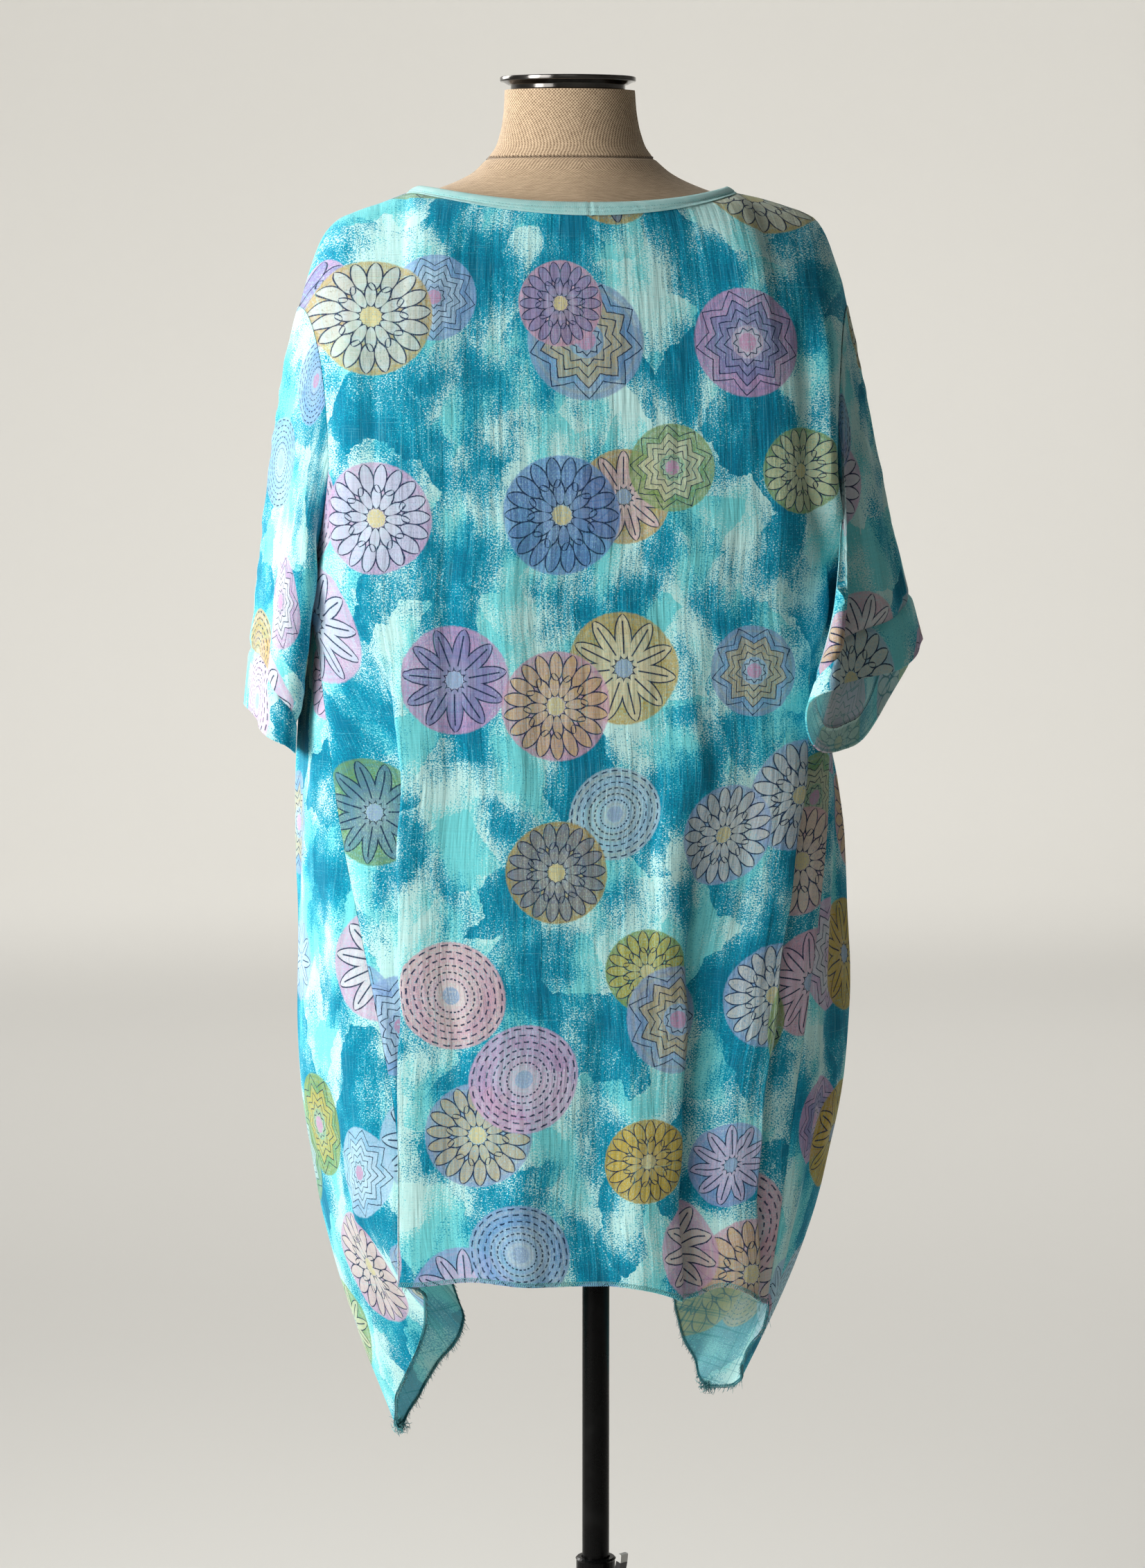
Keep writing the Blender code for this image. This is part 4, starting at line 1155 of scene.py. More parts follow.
# ---------------------------------------------------------------- finishes
class Rosette:
    """A layer of round figures, one to a cell, and the masks drawn in their coordinates."""

    def __init__(self, pen: Pen, at: Socket, spacing: float, shift: Spot, loose: float) -> None:
        """Lays the cells out.

        Args:
            pen: The material's pen.
            at: The place on the cut.
            spacing: Size of the cells.
            shift: Offset of the cells.
            loose: How far the figures leave a square grid.
        """
        self.pen = pen
        at = pen.vector("ADD", at, shift)
        layout = {"Vector": at, "Scale": 1 / spacing, "Randomness": loose}
        cells = pen.node("TexVoronoi", layout, voronoi_dimensions="2D")
        local = pen.vector("SUBTRACT", at, cells["Position"])
        self.kind, self.tint, self.spare = pen.parts("Color", cells["Color"])
        x, y, _ = pen.parts("XYZ", local)
        self.turn = pen.fitted(self.spare, 5.0, pen.sum("ARCTAN2", y, x))
        wobble = pen.less(pen.noise(at, 300), 0.5)
        gone = pen.fitted(wobble, 0.0016, pen.vector("LENGTH", local))
        spread = pen.rest(pen.times(self.tint, 7.0))
        self.r = pen.over(gone, pen.fitted(spread, 0.016, 0.038))

    def ray(self, count: int) -> Socket:
        """Distance from the nearest of some even rays, in rim radii.

        Args:
            count: How many rays.

        Returns:
            The distance.
        """
        pen = self.pen
        share = pen.rest(pen.times(self.turn, count / math.tau))
        away = pen.size(pen.less(share, 0.5))
        return pen.times(pen.times(away, self.r), math.tau / count)

    def both(self, *masks: Socket) -> Socket:
        """Where all the masks are."""
        return reduce(self.pen.times, masks)

    def either(self, *masks: Socket) -> Socket:
        """Where any of the masks is."""
        return reduce(self.pen.most, masks)

    def petals(self, count: int, inner: float, outer: float, width: float) -> tuple[Socket, Socket]:
        """A ring of petals.

        Args:
            count: How many.
            inner: Their start, in rim radii.
            outer: Their tips.
            width: Half of each petal's greatest width.

        Returns:
            The petals, and their outlines.
        """
        pen = self.pen
        share = pen.over(pen.less(self.r, inner), outer - inner)
        share = pen.plus(share, 0.0, clamp=True)
        swell = pen.times(share, pen.less(1.0, share))
        swell = pen.sum("POWER", pen.times(swell, 4.0), 0.62)
        inside = pen.fitted(swell, width, pen.times(self.ray(count), -1.0))
        ring = pen.band(self.r, inner, outer, 0.01)
        fill = self.both(pen.step(inside, 0.0, 0.02), ring)
        return fill, self.both(pen.band(inside, -0.014, 0.013, 0.012), ring)

    def draw(self, ground: Socket, worn: Socket, ink: Colour) -> Socket:
        """Draws the figures over a ground.

        Args:
            ground: The colour under them.
            worn: Noise that thins the colour along the threads.
            ink: Colour of the fine lines.

        Returns:
            The colour with the figures.
        """
        pen, r = self.pen, self.r
        outer_fill, outer_line = self.petals(18, 0.46, 0.97, 0.122)
        inner_fill, inner_line = self.petals(12, 0.17, 0.6, 0.098)
        leaf_fill, leaf_line = self.petals(11, 0.16, 0.96, 0.15)
        rib = self.both(pen.band(self.ray(11), -0.01, 0.014, 0.01), pen.band(r, 0.26, 0.84))
        ring = pen.rest(pen.times(r, 8.0))
        order = pen.sum("FLOOR", pen.times(r, 8.0))
        dash = pen.fitted(order, 0.37, pen.times(self.turn, 26 / math.tau))
        dash = self.both(
            pen.band(ring, 0.38, 0.6, 0.1), pen.band(r, 0.26, 0.99),
            pen.band(pen.rest(dash), 0.2, 0.8, 0.1),
        )
        point = pen.rest(pen.times(self.turn, 9 / math.tau))
        point = pen.size(pen.less(point, 0.5))
        star = pen.fitted(point, 0.62, 0.94)
        star = pen.times(r, star)
        nested = pen.rest(pen.times(star, 6.0))
        star_line = self.both(pen.band(nested, 0.4, 0.56, 0.06), pen.band(star, 0.2, 0.96))
        star_fill = self.both(pen.band(star, -1.0, 0.76), pen.band(r, 0.3, 1.0))

        flower = pen.step(self.kind, 0.3001, 0.3)
        leaves = pen.band(self.kind, 0.3, 0.52, 0.0002)
        dashes = pen.band(self.kind, 0.52, 0.74, 0.0002)
        stars = pen.step(self.kind, 0.74, 0.7401)
        disc = self.both(pen.step(r, 1.015, 0.975), pen.step(self.spare, 0.1, 0.1001))
        first = pen.ramp(
            self.tint,
            (0.56, 0.33, 0.55), (0.17, 0.34, 0.66), (0.46, 0.32, 0.012), (0.64, 0.37, 0.47),
            (0.33, 0.54, 0.74), (0.15, 0.31, 0.06), (0.21, 0.36, 0.68), (0.6, 0.35, 0.56),
        )
        second = pen.ramp(
            self.spare, (0.72, 0.7, 0.5), (0.5, 0.68, 0.8), (0.7, 0.52, 0.68), (0.58, 0.44, 0.07),
            (0.68, 0.8, 0.78), (0.07, 0.16, 0.4), (0.7, 0.68, 0.52),
        )
        cover = pen.step(worn, 0.26, 0.58)
        blotch = pen.step(pen.noise(self.r, 5.0, 3.0), 0.35, 0.65)
        wash = pen.mix(pen.times(blotch, 0.36), first, second)
        inner = pen.step(r, 0.62, 0.05)
        wash = pen.mix(pen.times(inner, 0.38), wash, (0.7, 0.76, 0.72))
        thin = pen.fitted(cover, 0.46, 0.44)
        colour = pen.mix(self.both(disc, thin), ground, wash)
        solid = self.either(
            self.both(flower, self.either(outer_fill, inner_fill)),
            self.both(leaves, leaf_fill), self.both(stars, star_fill),
        )
        thin = pen.fitted(cover, 0.4, 0.14)
        colour = pen.mix(self.both(solid, disc, thin), colour, second)
        heart = self.both(pen.step(r, 0.175, 0.155), disc, cover)
        centre = pen.ramp(self.kind, (0.62, 0.58, 0.3), (0.28, 0.42, 0.62), (0.52, 0.3, 0.48))
        colour = pen.mix(heart, colour, centre)
        line = self.either(
            self.both(flower, self.either(outer_line, inner_line)),
            self.both(leaves, self.either(leaf_line, rib)),
            self.both(dashes, dash), self.both(stars, star_line),
        )
        drawn = self.both(line, disc, pen.fitted(cover, 0.25, 0.75))
        return pen.mix(drawn, colour, ink)


@dataclass(frozen=True)
class PrintedCotton:
    """Thin slub cotton with dry-brushed patches and round flower, leaf and star figures."""

    deep: Colour = (0.0, 0.335, 0.5)
    dark: Colour = (0.0, 0.185, 0.315)
    aqua: Colour = (0.18, 0.68, 0.72)
    pale: Colour = (0.57, 0.87, 0.85)
    ink: Colour = (0.004, 0.018, 0.07)
    slub: Colour = (0.24, 0.7, 0.76)
    back: Colour = (0.42, 0.72, 0.7)
    roughness: float = 0.86
    layers: tuple[tuple[float, Spot, float], ...] = (
        (0.148, (0.031, 0.054, 0.0), 0.36), (0.166, (3.11, 2.05, 0.0), 0.42)
    )

    def patches(self, pen: Pen, at: Socket, shift: Spot, size: Spot, fibre: Socket) -> Socket:
        """A tone that makes square-cornered, dry-brushed patches.

        Args:
            pen: The material's pen.
            at: The place on the cut.
            shift: Offset of the patches.
            size: Patches a metre, across and up.
            fibre: Noise of the threads.

        Returns:
            The tone, around 0.5.
        """
        at = pen.vector("ADD", at, shift)
        rough = pen.shaken(pen.shaken(at, 24, 0.011), 150, 0.004)
        inputs = {"Vector": pen.vector("MULTIPLY", rough, size), "Scale": 1.0}
        cells = pen.node("TexVoronoi", inputs, distance="CHEBYCHEV", voronoi_dimensions="2D")
        tint, _, _ = pen.parts("Color", cells["Color"])
        cloud = pen.grain(at, 1.0, 0.7, size[0] * 1.1, 5.0)
        return pen.swayed(pen.swayed(fibre, cloud, 1.5), tint, 0.36)

    def ground(self, pen: Pen, at: Socket) -> Socket:
        """The brushed patches under the figures.

        Args:
            pen: The material's pen.
            at: The place on the cut.

        Returns:
            The colour.
        """
        fibre: object = 0.5
        for x, y, scale, weight in (
            (1.0, 0.45, 1300, 0.8), (0.4, 1.0, 1100, 0.7), (1.0, 0.16, 420, 0.16)
        ):
            fibre = pen.swayed(fibre, pen.grain(at, x, y, scale), weight)
        deep = self.patches(pen, at, (0.0, 0.0, 0.0), (17.0, 12.5, 1.0), fibre)
        turned = pen.less(1.0, fibre)
        pale = self.patches(pen, at, (7.3, 2.9, 0.0), (19.0, 15.0, 1.0), turned)
        colour = pen.mix(pen.times(pen.step(pale, 0.44, 0.6), 0.95), self.aqua, self.pale)
        colour = pen.mix(pen.step(deep, 0.45, 0.54), colour, self.deep)
        return pen.mix(pen.step(deep, 0.58, 0.8), colour, self.dark)

    def printed(self, pen: Pen, at: Socket) -> Socket:
        """The ground with its figures.

        Args:
            pen: The material's pen.
            at: The place on the cut.

        Returns:
            The colour.
        """
        worn = pen.grain(at, 1.0, 0.36, 1200)
        colour = self.ground(pen, at)
        for spacing, shift, loose in self.layers:
            colour = Rosette(pen, at, spacing, shift, loose).draw(colour, worn, self.ink)
        return colour

    def threads(self, pen: Pen, at: Socket) -> tuple[Socket, Socket]:
        """The weave's uneven threads.

        Args:
            pen: The material's pen.
            at: The place on the cut.

        Returns:
            How much a thick thread shows, and the weave's height.
        """
        warp = pen.grain(at, 1.0, 0.025, 1350, 1.0)
        weft = pen.grain(at, 0.025, 1.0, 1150, 1.0)
        wide = pen.grain(at, 1.0, 0.02, 460, 1.0)
        broad = pen.grain(at, 0.02, 1.0, 430, 1.0)
        shown = pen.most(pen.step(warp, 0.56, 0.72), pen.step(weft, 0.62, 0.76))
        strong = pen.most(pen.step(wide, 0.66, 0.74), pen.step(broad, 0.7, 0.77))
        thick = pen.most(pen.times(shown, 0.8), strong)
        height = pen.plus(pen.plus(warp, weft), pen.plus(wide, broad))
        return thick, pen.times(height, 0.25)

    def outside(self) -> Finish:
        """The printed side.

        Returns:
            The material.
        """
        pen = Pen("printed_cotton", self.roughness)
        at = pen.cut()
        colour = self.printed(pen, at)
        thick, weave = self.threads(pen, at)
        colour = pen.mix(pen.times(thick, 0.22), colour, self.slub)
        # Painted shade: the weave's low places darken the colour.
        shade = pen.mix(pen.step(weave, 0.36, 0.6), (0.45, 0.45, 0.45), (1, 1, 1))
        colour = pen.mix(0.16, colour, shade, "MULTIPLY")
        pen.set("Base Color", colour)
        pen.bump(pen.grain(at, 1.0, 0.1, 130), 0.002, 0.8)
        pen.bump(weave, 0.001, 0.8)
        self.soften(pen, 0.4, 0.0018)
        return pen.material

    def inside(self) -> Finish:
        """The unprinted side, where the print shows through, most along the thick threads.

        Returns:
            The material.
        """
        pen = Pen("printed_cotton_inside", self.roughness)
        at = pen.cut()
        colour = pen.mix(0.44, self.printed(pen, at), self.back)
        for x, y in ((1.0, 0.02), (0.02, 1.0)):
            line = pen.grain(at, x, y, 330, 1.0)
            drawn = pen.times(pen.step(line, 0.6, 0.68), 0.45)
            colour = pen.mix(drawn, colour, (0.045, 0.3, 0.345))
        thick, weave = self.threads(pen, at)
        colour = pen.mix(pen.times(thick, 0.3), colour, self.deep)
        pen.set("Base Color", colour)
        pen.bump(weave, 0.001, 0.8)
        self.soften(pen, 0.95, 0.004)
        return pen.material

    def soften(self, pen: Pen, glow: float, depth: float) -> None:
        """Sets what the two sides share, and how light passes.

        Args:
            pen: The material's pen.
            glow: Share of the light that passes into the cloth.
            depth: How deep it goes, in metres.
        """
        pen.set("Specular IOR Level", 0.14)
        pen.set("Sheen Weight", 0.04)
        pen.set("Sheen Roughness", 0.55)
        pen.set("Subsurface Weight", glow)
        pen.set("Subsurface Radius", (1.0, 1.0, 1.0))
        pen.set("Subsurface Scale", depth)


@dataclass(frozen=True)
class Jersey:
    """Pale aqua rib jersey."""

    colour: Colour = (0.385, 0.735, 0.73)
    stitch: float = 0.00095

    def material(self) -> Finish:
        """The knitted band's look.

        Returns:
            The material.
        """
        pen = Pen("aqua_jersey", 0.88)
        at = pen.cut()
        x, y, _ = pen.parts("XYZ", at)
        along = pen.times(x, math.tau / self.stitch)
        across = pen.times(y, math.tau / self.stitch)
        slant = pen.size(pen.sine(pen.times(across, 0.5)))
        knit = pen.sine(pen.fitted(slant, 1.8, along))
        knit = pen.fitted(knit, 0.5, 0.5)
        cloud = pen.noise(at, 90, 3.0)
        colour = pen.mix(pen.step(cloud, 0.35, 0.7), self.colour, (0.48, 0.8, 0.79))
        # Painted shade: the colour darkens in the knit's low places between the loops.
        colour = pen.mix(0.28, colour, pen.mix(knit, (0.35, 0.35, 0.35), (1, 1, 1)), "MULTIPLY")
        pen.set("Base Color", colour)
        pen.bump(knit, 0.00025, 0.7)
        pen.bump(cloud, 0.0006, 0.5)
        pen.set("Sheen Weight", 0.25)
        return pen.material


@dataclass(frozen=True)
class Thread:
    """Sewing thread of one colour."""

    name: str
    colour: Colour

    def material(self) -> Finish:
        """The thread's look, with a fine twist.

        Returns:
            The material.
        """
        pen = Pen(self.name, 0.6)
        at = pen.place()
        tone = pen.noise(at, 700)
        dark = tuple(c * 0.55 for c in self.colour)
        pen.set("Base Color", pen.mix(pen.step(tone, 0.35, 0.62), dark, self.colour))
        pen.bump(pen.noise(at, 3200, 1.0), 0.0001, 0.6)
        pen.set("Sheen Weight", 0.2)
        return pen.material


@dataclass(frozen=True)
class Linen:
    """Natural linen in a plain weave of uneven yarns."""

    # The colour of the yarns' tops, and a dark brown used both for the painted shade in the weave's
    # gaps and for the random age blotches.
    light: Colour = (0.79, 0.6, 0.405)
    dark: Colour = (0.15, 0.088, 0.046)
    yarn: float = 0.0015

    def material(self) -> Finish:
        """The form's cover.

        Returns:
            The material.
        """
        pen = Pen("form_linen", 0.82)
        at = pen.cut()
        x, y, _ = pen.parts("XYZ", pen.shaken(at, 220, 0.0004))
        across, up = (pen.sine(pen.times(way, math.pi / self.yarn)) for way in (x, y))
        over = pen.times(across, up)
        weave = pen.fitted(over, 0.5, 0.5)
        warp = pen.grain(at, 1.0, 0.12, 900)
        weft = pen.grain(at, 0.12, 1.0, 900)
        slub = pen.times(pen.plus(warp, weft), 0.5)
        tone = pen.fitted(weave, 0.5, pen.times(slub, 0.6))
        # Painted shade: the colour darkens in the gaps between the yarns, mixed with the yarns' own
        # uneven tone.
        colour = pen.mix(pen.step(tone, 0.2, 0.84), self.dark, self.light)
        aged = pen.noise(at, 14, 3.0)
        colour = pen.mix(pen.times(pen.step(aged, 0.45, 0.75), 0.18), colour, self.dark)
        pen.bump(slub, 0.0002, 0.5)
        pen.bump(weave, 0.0003, 0.6)
        # Painted shade: the linen darkens to near black along the form's sunk seams, by the
        # grooves' depth.
        seam = pen.node("Attribute", {}, attribute_name="seam")["Fac"]
        sunk = pen.times(pen.step(seam, 0.45, 1.0), 0.62)
        pen.set("Base Color", pen.mix(sunk, colour, (0.045, 0.026, 0.014)))
        pen.set("Specular IOR Level", 0.25)
        pen.set("Sheen Weight", 0.15)
        return pen.material


@dataclass(frozen=True)
class Metal:
    """A metal surface, bare or painted, with fine wear."""

    name: str
    colour: Colour
    roughness: float
    metallic: float
    grain: float = 900.0
    specular: float = 0.5

    def material(self) -> Finish:
        """The metal's look.

        Returns:
            The material.
        """
        pen = Pen(self.name, self.roughness, self.metallic)
        at = pen.place()
        smudge = pen.noise(at, 26, 4.0)
        fine = pen.noise(at, self.grain)
        rough = pen.swayed(pen.swayed(self.roughness, smudge, 0.16), fine, 0.06)
        pen.set("Roughness", pen.most(rough, 0.04))
        pale = tuple(min(c * 1.7 + 0.01, 1.0) for c in self.colour)
        spots = pen.times(pen.step(smudge, 0.52, 0.75), 0.35)
        pen.set("Base Color", pen.mix(spots, self.colour, pale))
        pen.bump(fine, 0.00006, 0.35)
        pen.set("Specular IOR Level", self.specular)
        return pen.material


class Finishes:
    """Every finish of the object, made once."""

    def __init__(self) -> None:
        """Makes the materials."""
        cotton = PrintedCotton()
        self.cotton = (cotton.outside(), cotton.inside())
        jersey = Jersey().material()
        self.jersey = (jersey, jersey)
        self.linen = Linen().material()
        self.aqua_thread = Thread("aqua_thread", (0.2, 0.62, 0.64)).material()
        self.teal_thread = Thread("teal_thread", (0.015, 0.27, 0.32)).material()
        self.brown_thread = Thread("brown_thread", (0.11, 0.062, 0.032)).material()
        self.chrome = Metal("polished_steel", (0.115, 0.11, 0.105), 0.16, 1.0).material()
        gloss = Metal("gloss_black", (0.003, 0.003, 0.003), 0.28, 0.0, specular=0.1)
        self.gloss_black = gloss.material()
        self.satin_black = Metal("satin_black", (0.014, 0.014, 0.015), 0.42, 0.0, 1600.0).material()
        self.steel = Metal("plain_steel", (0.36, 0.36, 0.36), 0.32, 1.0).material()
        self.grey_plastic = Metal("grey_plastic", (0.5, 0.5, 0.48), 0.45, 0.0).material()
        self.board = Metal("black_board", (0.022, 0.02, 0.019), 0.75, 0.0, 500.0).material()


@dataclass(frozen=True)
class SubAssembly:
    """A part of the object, dressed with the finishes that all parts share."""

    finishes: Finishes


# ---------------------------------------------------------------- cloth pieces
@dataclass(frozen=True)
class Panel(SubAssembly):
    """The front or the back of the tunic."""

    face: Face
    flat: Pair
    area: float
    shift: Pair
    seed: int
    plain_step: float = 0.0042
    fold_step: float = 0.0028
    row_step: float = 0.0066
    rounding: int = 9

    @property
    def name(self) -> str:
        """Back or front."""
        return self.face.name.lower()

    def half_columns(self, side: Side) -> list[Place]:
        """The columns of a half, from the middle to its seam.

        Args:
            side: Left or right.

        Returns:
            The columns.
        """
        half = Half(self.face, side)
        end = half.folds_end
        stops = [0.0]
        while stops[-1] < end:
            folded = any(
                lap.start - 0.012 < stops[-1] < lap.start + lap.span + 0.004
                for lap in LAPS[self.face, side]
            )
            stops.append(stops[-1] + (self.fold_step if folded else self.plain_step))
        stops[-1] = end
        nearest = min(range(len(stops)), key=lambda i: abs(stops[i] - NECK_AT))
        stops[nearest] = NECK_AT
        width = half.seam_length(0.9) - 0.1
        count = round(width / self.plain_step)
        shares = [(i + 1) / count for i in range(count - 1)]
        shares += [1 - 0.45 / count, 1 - 0.18 / count, 1.0]
        return [Place(half, stop) for stop in stops] + [Place(half, 0, s) for s in shares]

    def surface(self) -> tuple[np.ndarray, np.ndarray, np.ndarray]:
        """The panel before its creases.

        Returns:
            Its points, their places on the cut, and their distances from the seams.
        """
        places = self.half_columns(Side.RIGHT)[:0:-1] + self.half_columns(Side.LEFT)
        rows = []
        lows = [HEM.read(p.half.name, abs(p.point(HEM_GUESS_Z)[0][0])) for p in places]
        count = round((UNDERARM_Z - 0.56) / self.row_step)
        levels = [0, 0.004, 0.009] + [i / count for i in range(1, count + 1)]
        for level in levels:
            heights = [low + (UNDERARM_Z - low) * level for low in lows]
            rows.append([p.point(z) for p, z in zip(places, heights)])
        count = round((BLADE_Z - UNDERARM_Z) / self.row_step)
        for i in range(1, count + 1):
            z = UNDERARM_Z + (BLADE_Z - UNDERARM_Z) * i / count
            rows.append([p.point(z) for p in places])
        straight = len(rows)
        for turn in [i / 36 for i in range(1, 36)] + [0.988, 1.0]:
            rows.append([p.yoke_point(turn) for p in places])
        points = np.array([[list(one[0]) for one in row] for row in rows])
        across = np.array([[p.half.side * one[1] for p, one in zip(places, row)] for row in rows])
        to_seam = np.array([[one[2] for one in row] for row in rows])
        climbed = np.linalg.norm(np.diff(points[straight - 1 :], axis=0), axis=2)
        up = points[:, :, 2].copy()
        up[straight:] = BLADE_Z + np.cumsum(climbed, axis=0)
        return points, np.stack([across, up], axis=2), to_seam

    def creased(self) -> tuple[np.ndarray, np.ndarray, np.ndarray]:
        """The panel with its creases, seam rolls and waving hem.

        Returns:
            Its points, their places on the cut, and its normals.
        """
        points, cut, to_seam = self.surface()
        u, v = cut[:, :, 0], cut[:, :, 1]
        free = eases((to_seam - 0.008) / 0.02) * eases((BLADE_Z - points[:, :, 2]) / 0.06)
        for _ in range(self.rounding):
            mean = points.copy()
            mean[:, 1:-1] = (points[:, :-2] + 2 * points[:, 1:-1] + points[:, 2:]) / 4
            points += (mean - points) * free[:, :, None]
        wander = np.sin(24 * v + self.seed) + 0.6 * np.sin(57 * v + 2.0 * self.seed)
        points[:, :, 0] += 0.002 * wander * free
        normals = -self.face * grid_normals(points, wrap=False)
        height = crumple(PANEL_CREASES, u, v, self.seed)
        calm = eases(to_seam / 0.016) * (1 - 0.7 * eases((points[:, :, 2] - 1.38) / 0.08))
        turned = eases((self.face * normals[:, :, 1] - 0.1) / 0.6)
        for _ in range(4):  # calm too where the cloth turns under a lap
            beside = (turned[:, :-2] + turned[:, 2:]) / 2
            turned[:, 1:-1] = np.minimum(turned[:, 1:-1], beside)
        height *= calm * turned
        pucker = np.sin(v / 0.0058 + 1.7 * np.sin(v * 31)) * np.exp(-to_seam / 0.007)
        height += 0.00035 * pucker * eases(to_seam / 0.003)
        height -= 0.0004 * (1 - eases(to_seam / 0.0042))
        if self.face == Face.BACK:
            height += self.shoulder_fold(points, to_seam, Side.RIGHT, 0.0075)
            height += self.shoulder_fold(points, to_seam, Side.LEFT, 0.0025)
        above_hem = v - v[0]
        wave = np.sin(u / 0.0074 + 2.1 * np.sin(u * 17)) + 0.7 * np.sin(u / 0.0151 + 1.0)
        height += 0.0008 * wave * np.exp(-above_hem / 0.016)
        points = points + normals * height[:, :, None]
        return points, cut, -self.face * grid_normals(points, wrap=False)

    def shoulder_fold(
        self, points: np.ndarray, to_seam: np.ndarray, side: Side, size: float
    ) -> np.ndarray:
        """A fold that hangs from the shoulder beside the armhole, with a valley before it.

        Args:
            points: The panel's points.
            to_seam: Their distances from the seam.
            side: Left or right.
            size: The fold's height.

        Returns:
            The height at each point.
        """
        z = points[:, :, 2]
        here = (points[:, :, 0] * side > 0) * eases((1.47 - z) / 0.09) * eases((z - 1.085) / 0.05)
        crest = bell(to_seam - 0.028, 0.0115)
        valley = bell(to_seam - 0.05, 0.009)
        return size * here * (crest - 0.6 * valley)

    def build(self) -> tuple[Edge, Edge]:
        """Builds the panel and its hem.

        Returns:
            The neck's edge on the right and the left, each from the middle outwards.
        """
        points, cut, normals = self.creased()
        points = points + CENTRE
        piece = sheet_piece(
            f"{self.name}_cloth", points, cut + np.array(self.shift), self.finishes.cotton,
            flip=self.face == Face.BACK,
        )
        hem = Overlock().sew(
            f"{self.name}_hem", row_edge(points, normals, 0, 3), self.finishes.aqua_thread
        )
        settle(self.name, piece, hem)
        edge = row_edge(points, normals, -1, -3)
        middle = int(np.argmin(np.abs(cut[-1, :, 0])))
        on_neck = np.abs(cut[-1, :, 0]) <= NECK_AT + 1e-6
        left = np.flatnonzero(on_neck & (np.arange(len(on_neck)) >= middle))
        right = np.flatnonzero(on_neck & (np.arange(len(on_neck)) <= middle))[::-1]
        return tuple(Edge(*(values[part] for values in edge)) for part in (right, left))


def settle(node: str, piece: Piece, *trims: Piece) -> None:
    """Puts a finished piece and its trims on the mast, in the place of a CAD node.

    Args:
        node: The CAD node, whose name is the record's slot too.
        piece: The piece that stands for it.
        trims: The stitches and threads that go with the piece.
    """
    for one in (piece, *trims):
        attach(one, "mast")
        faces = sum(len(face.vertices) - 2 for face in one.data.polygons)
        LOG.info("%s rides on the mast: %d triangles", one.name, faces)
    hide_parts(node)


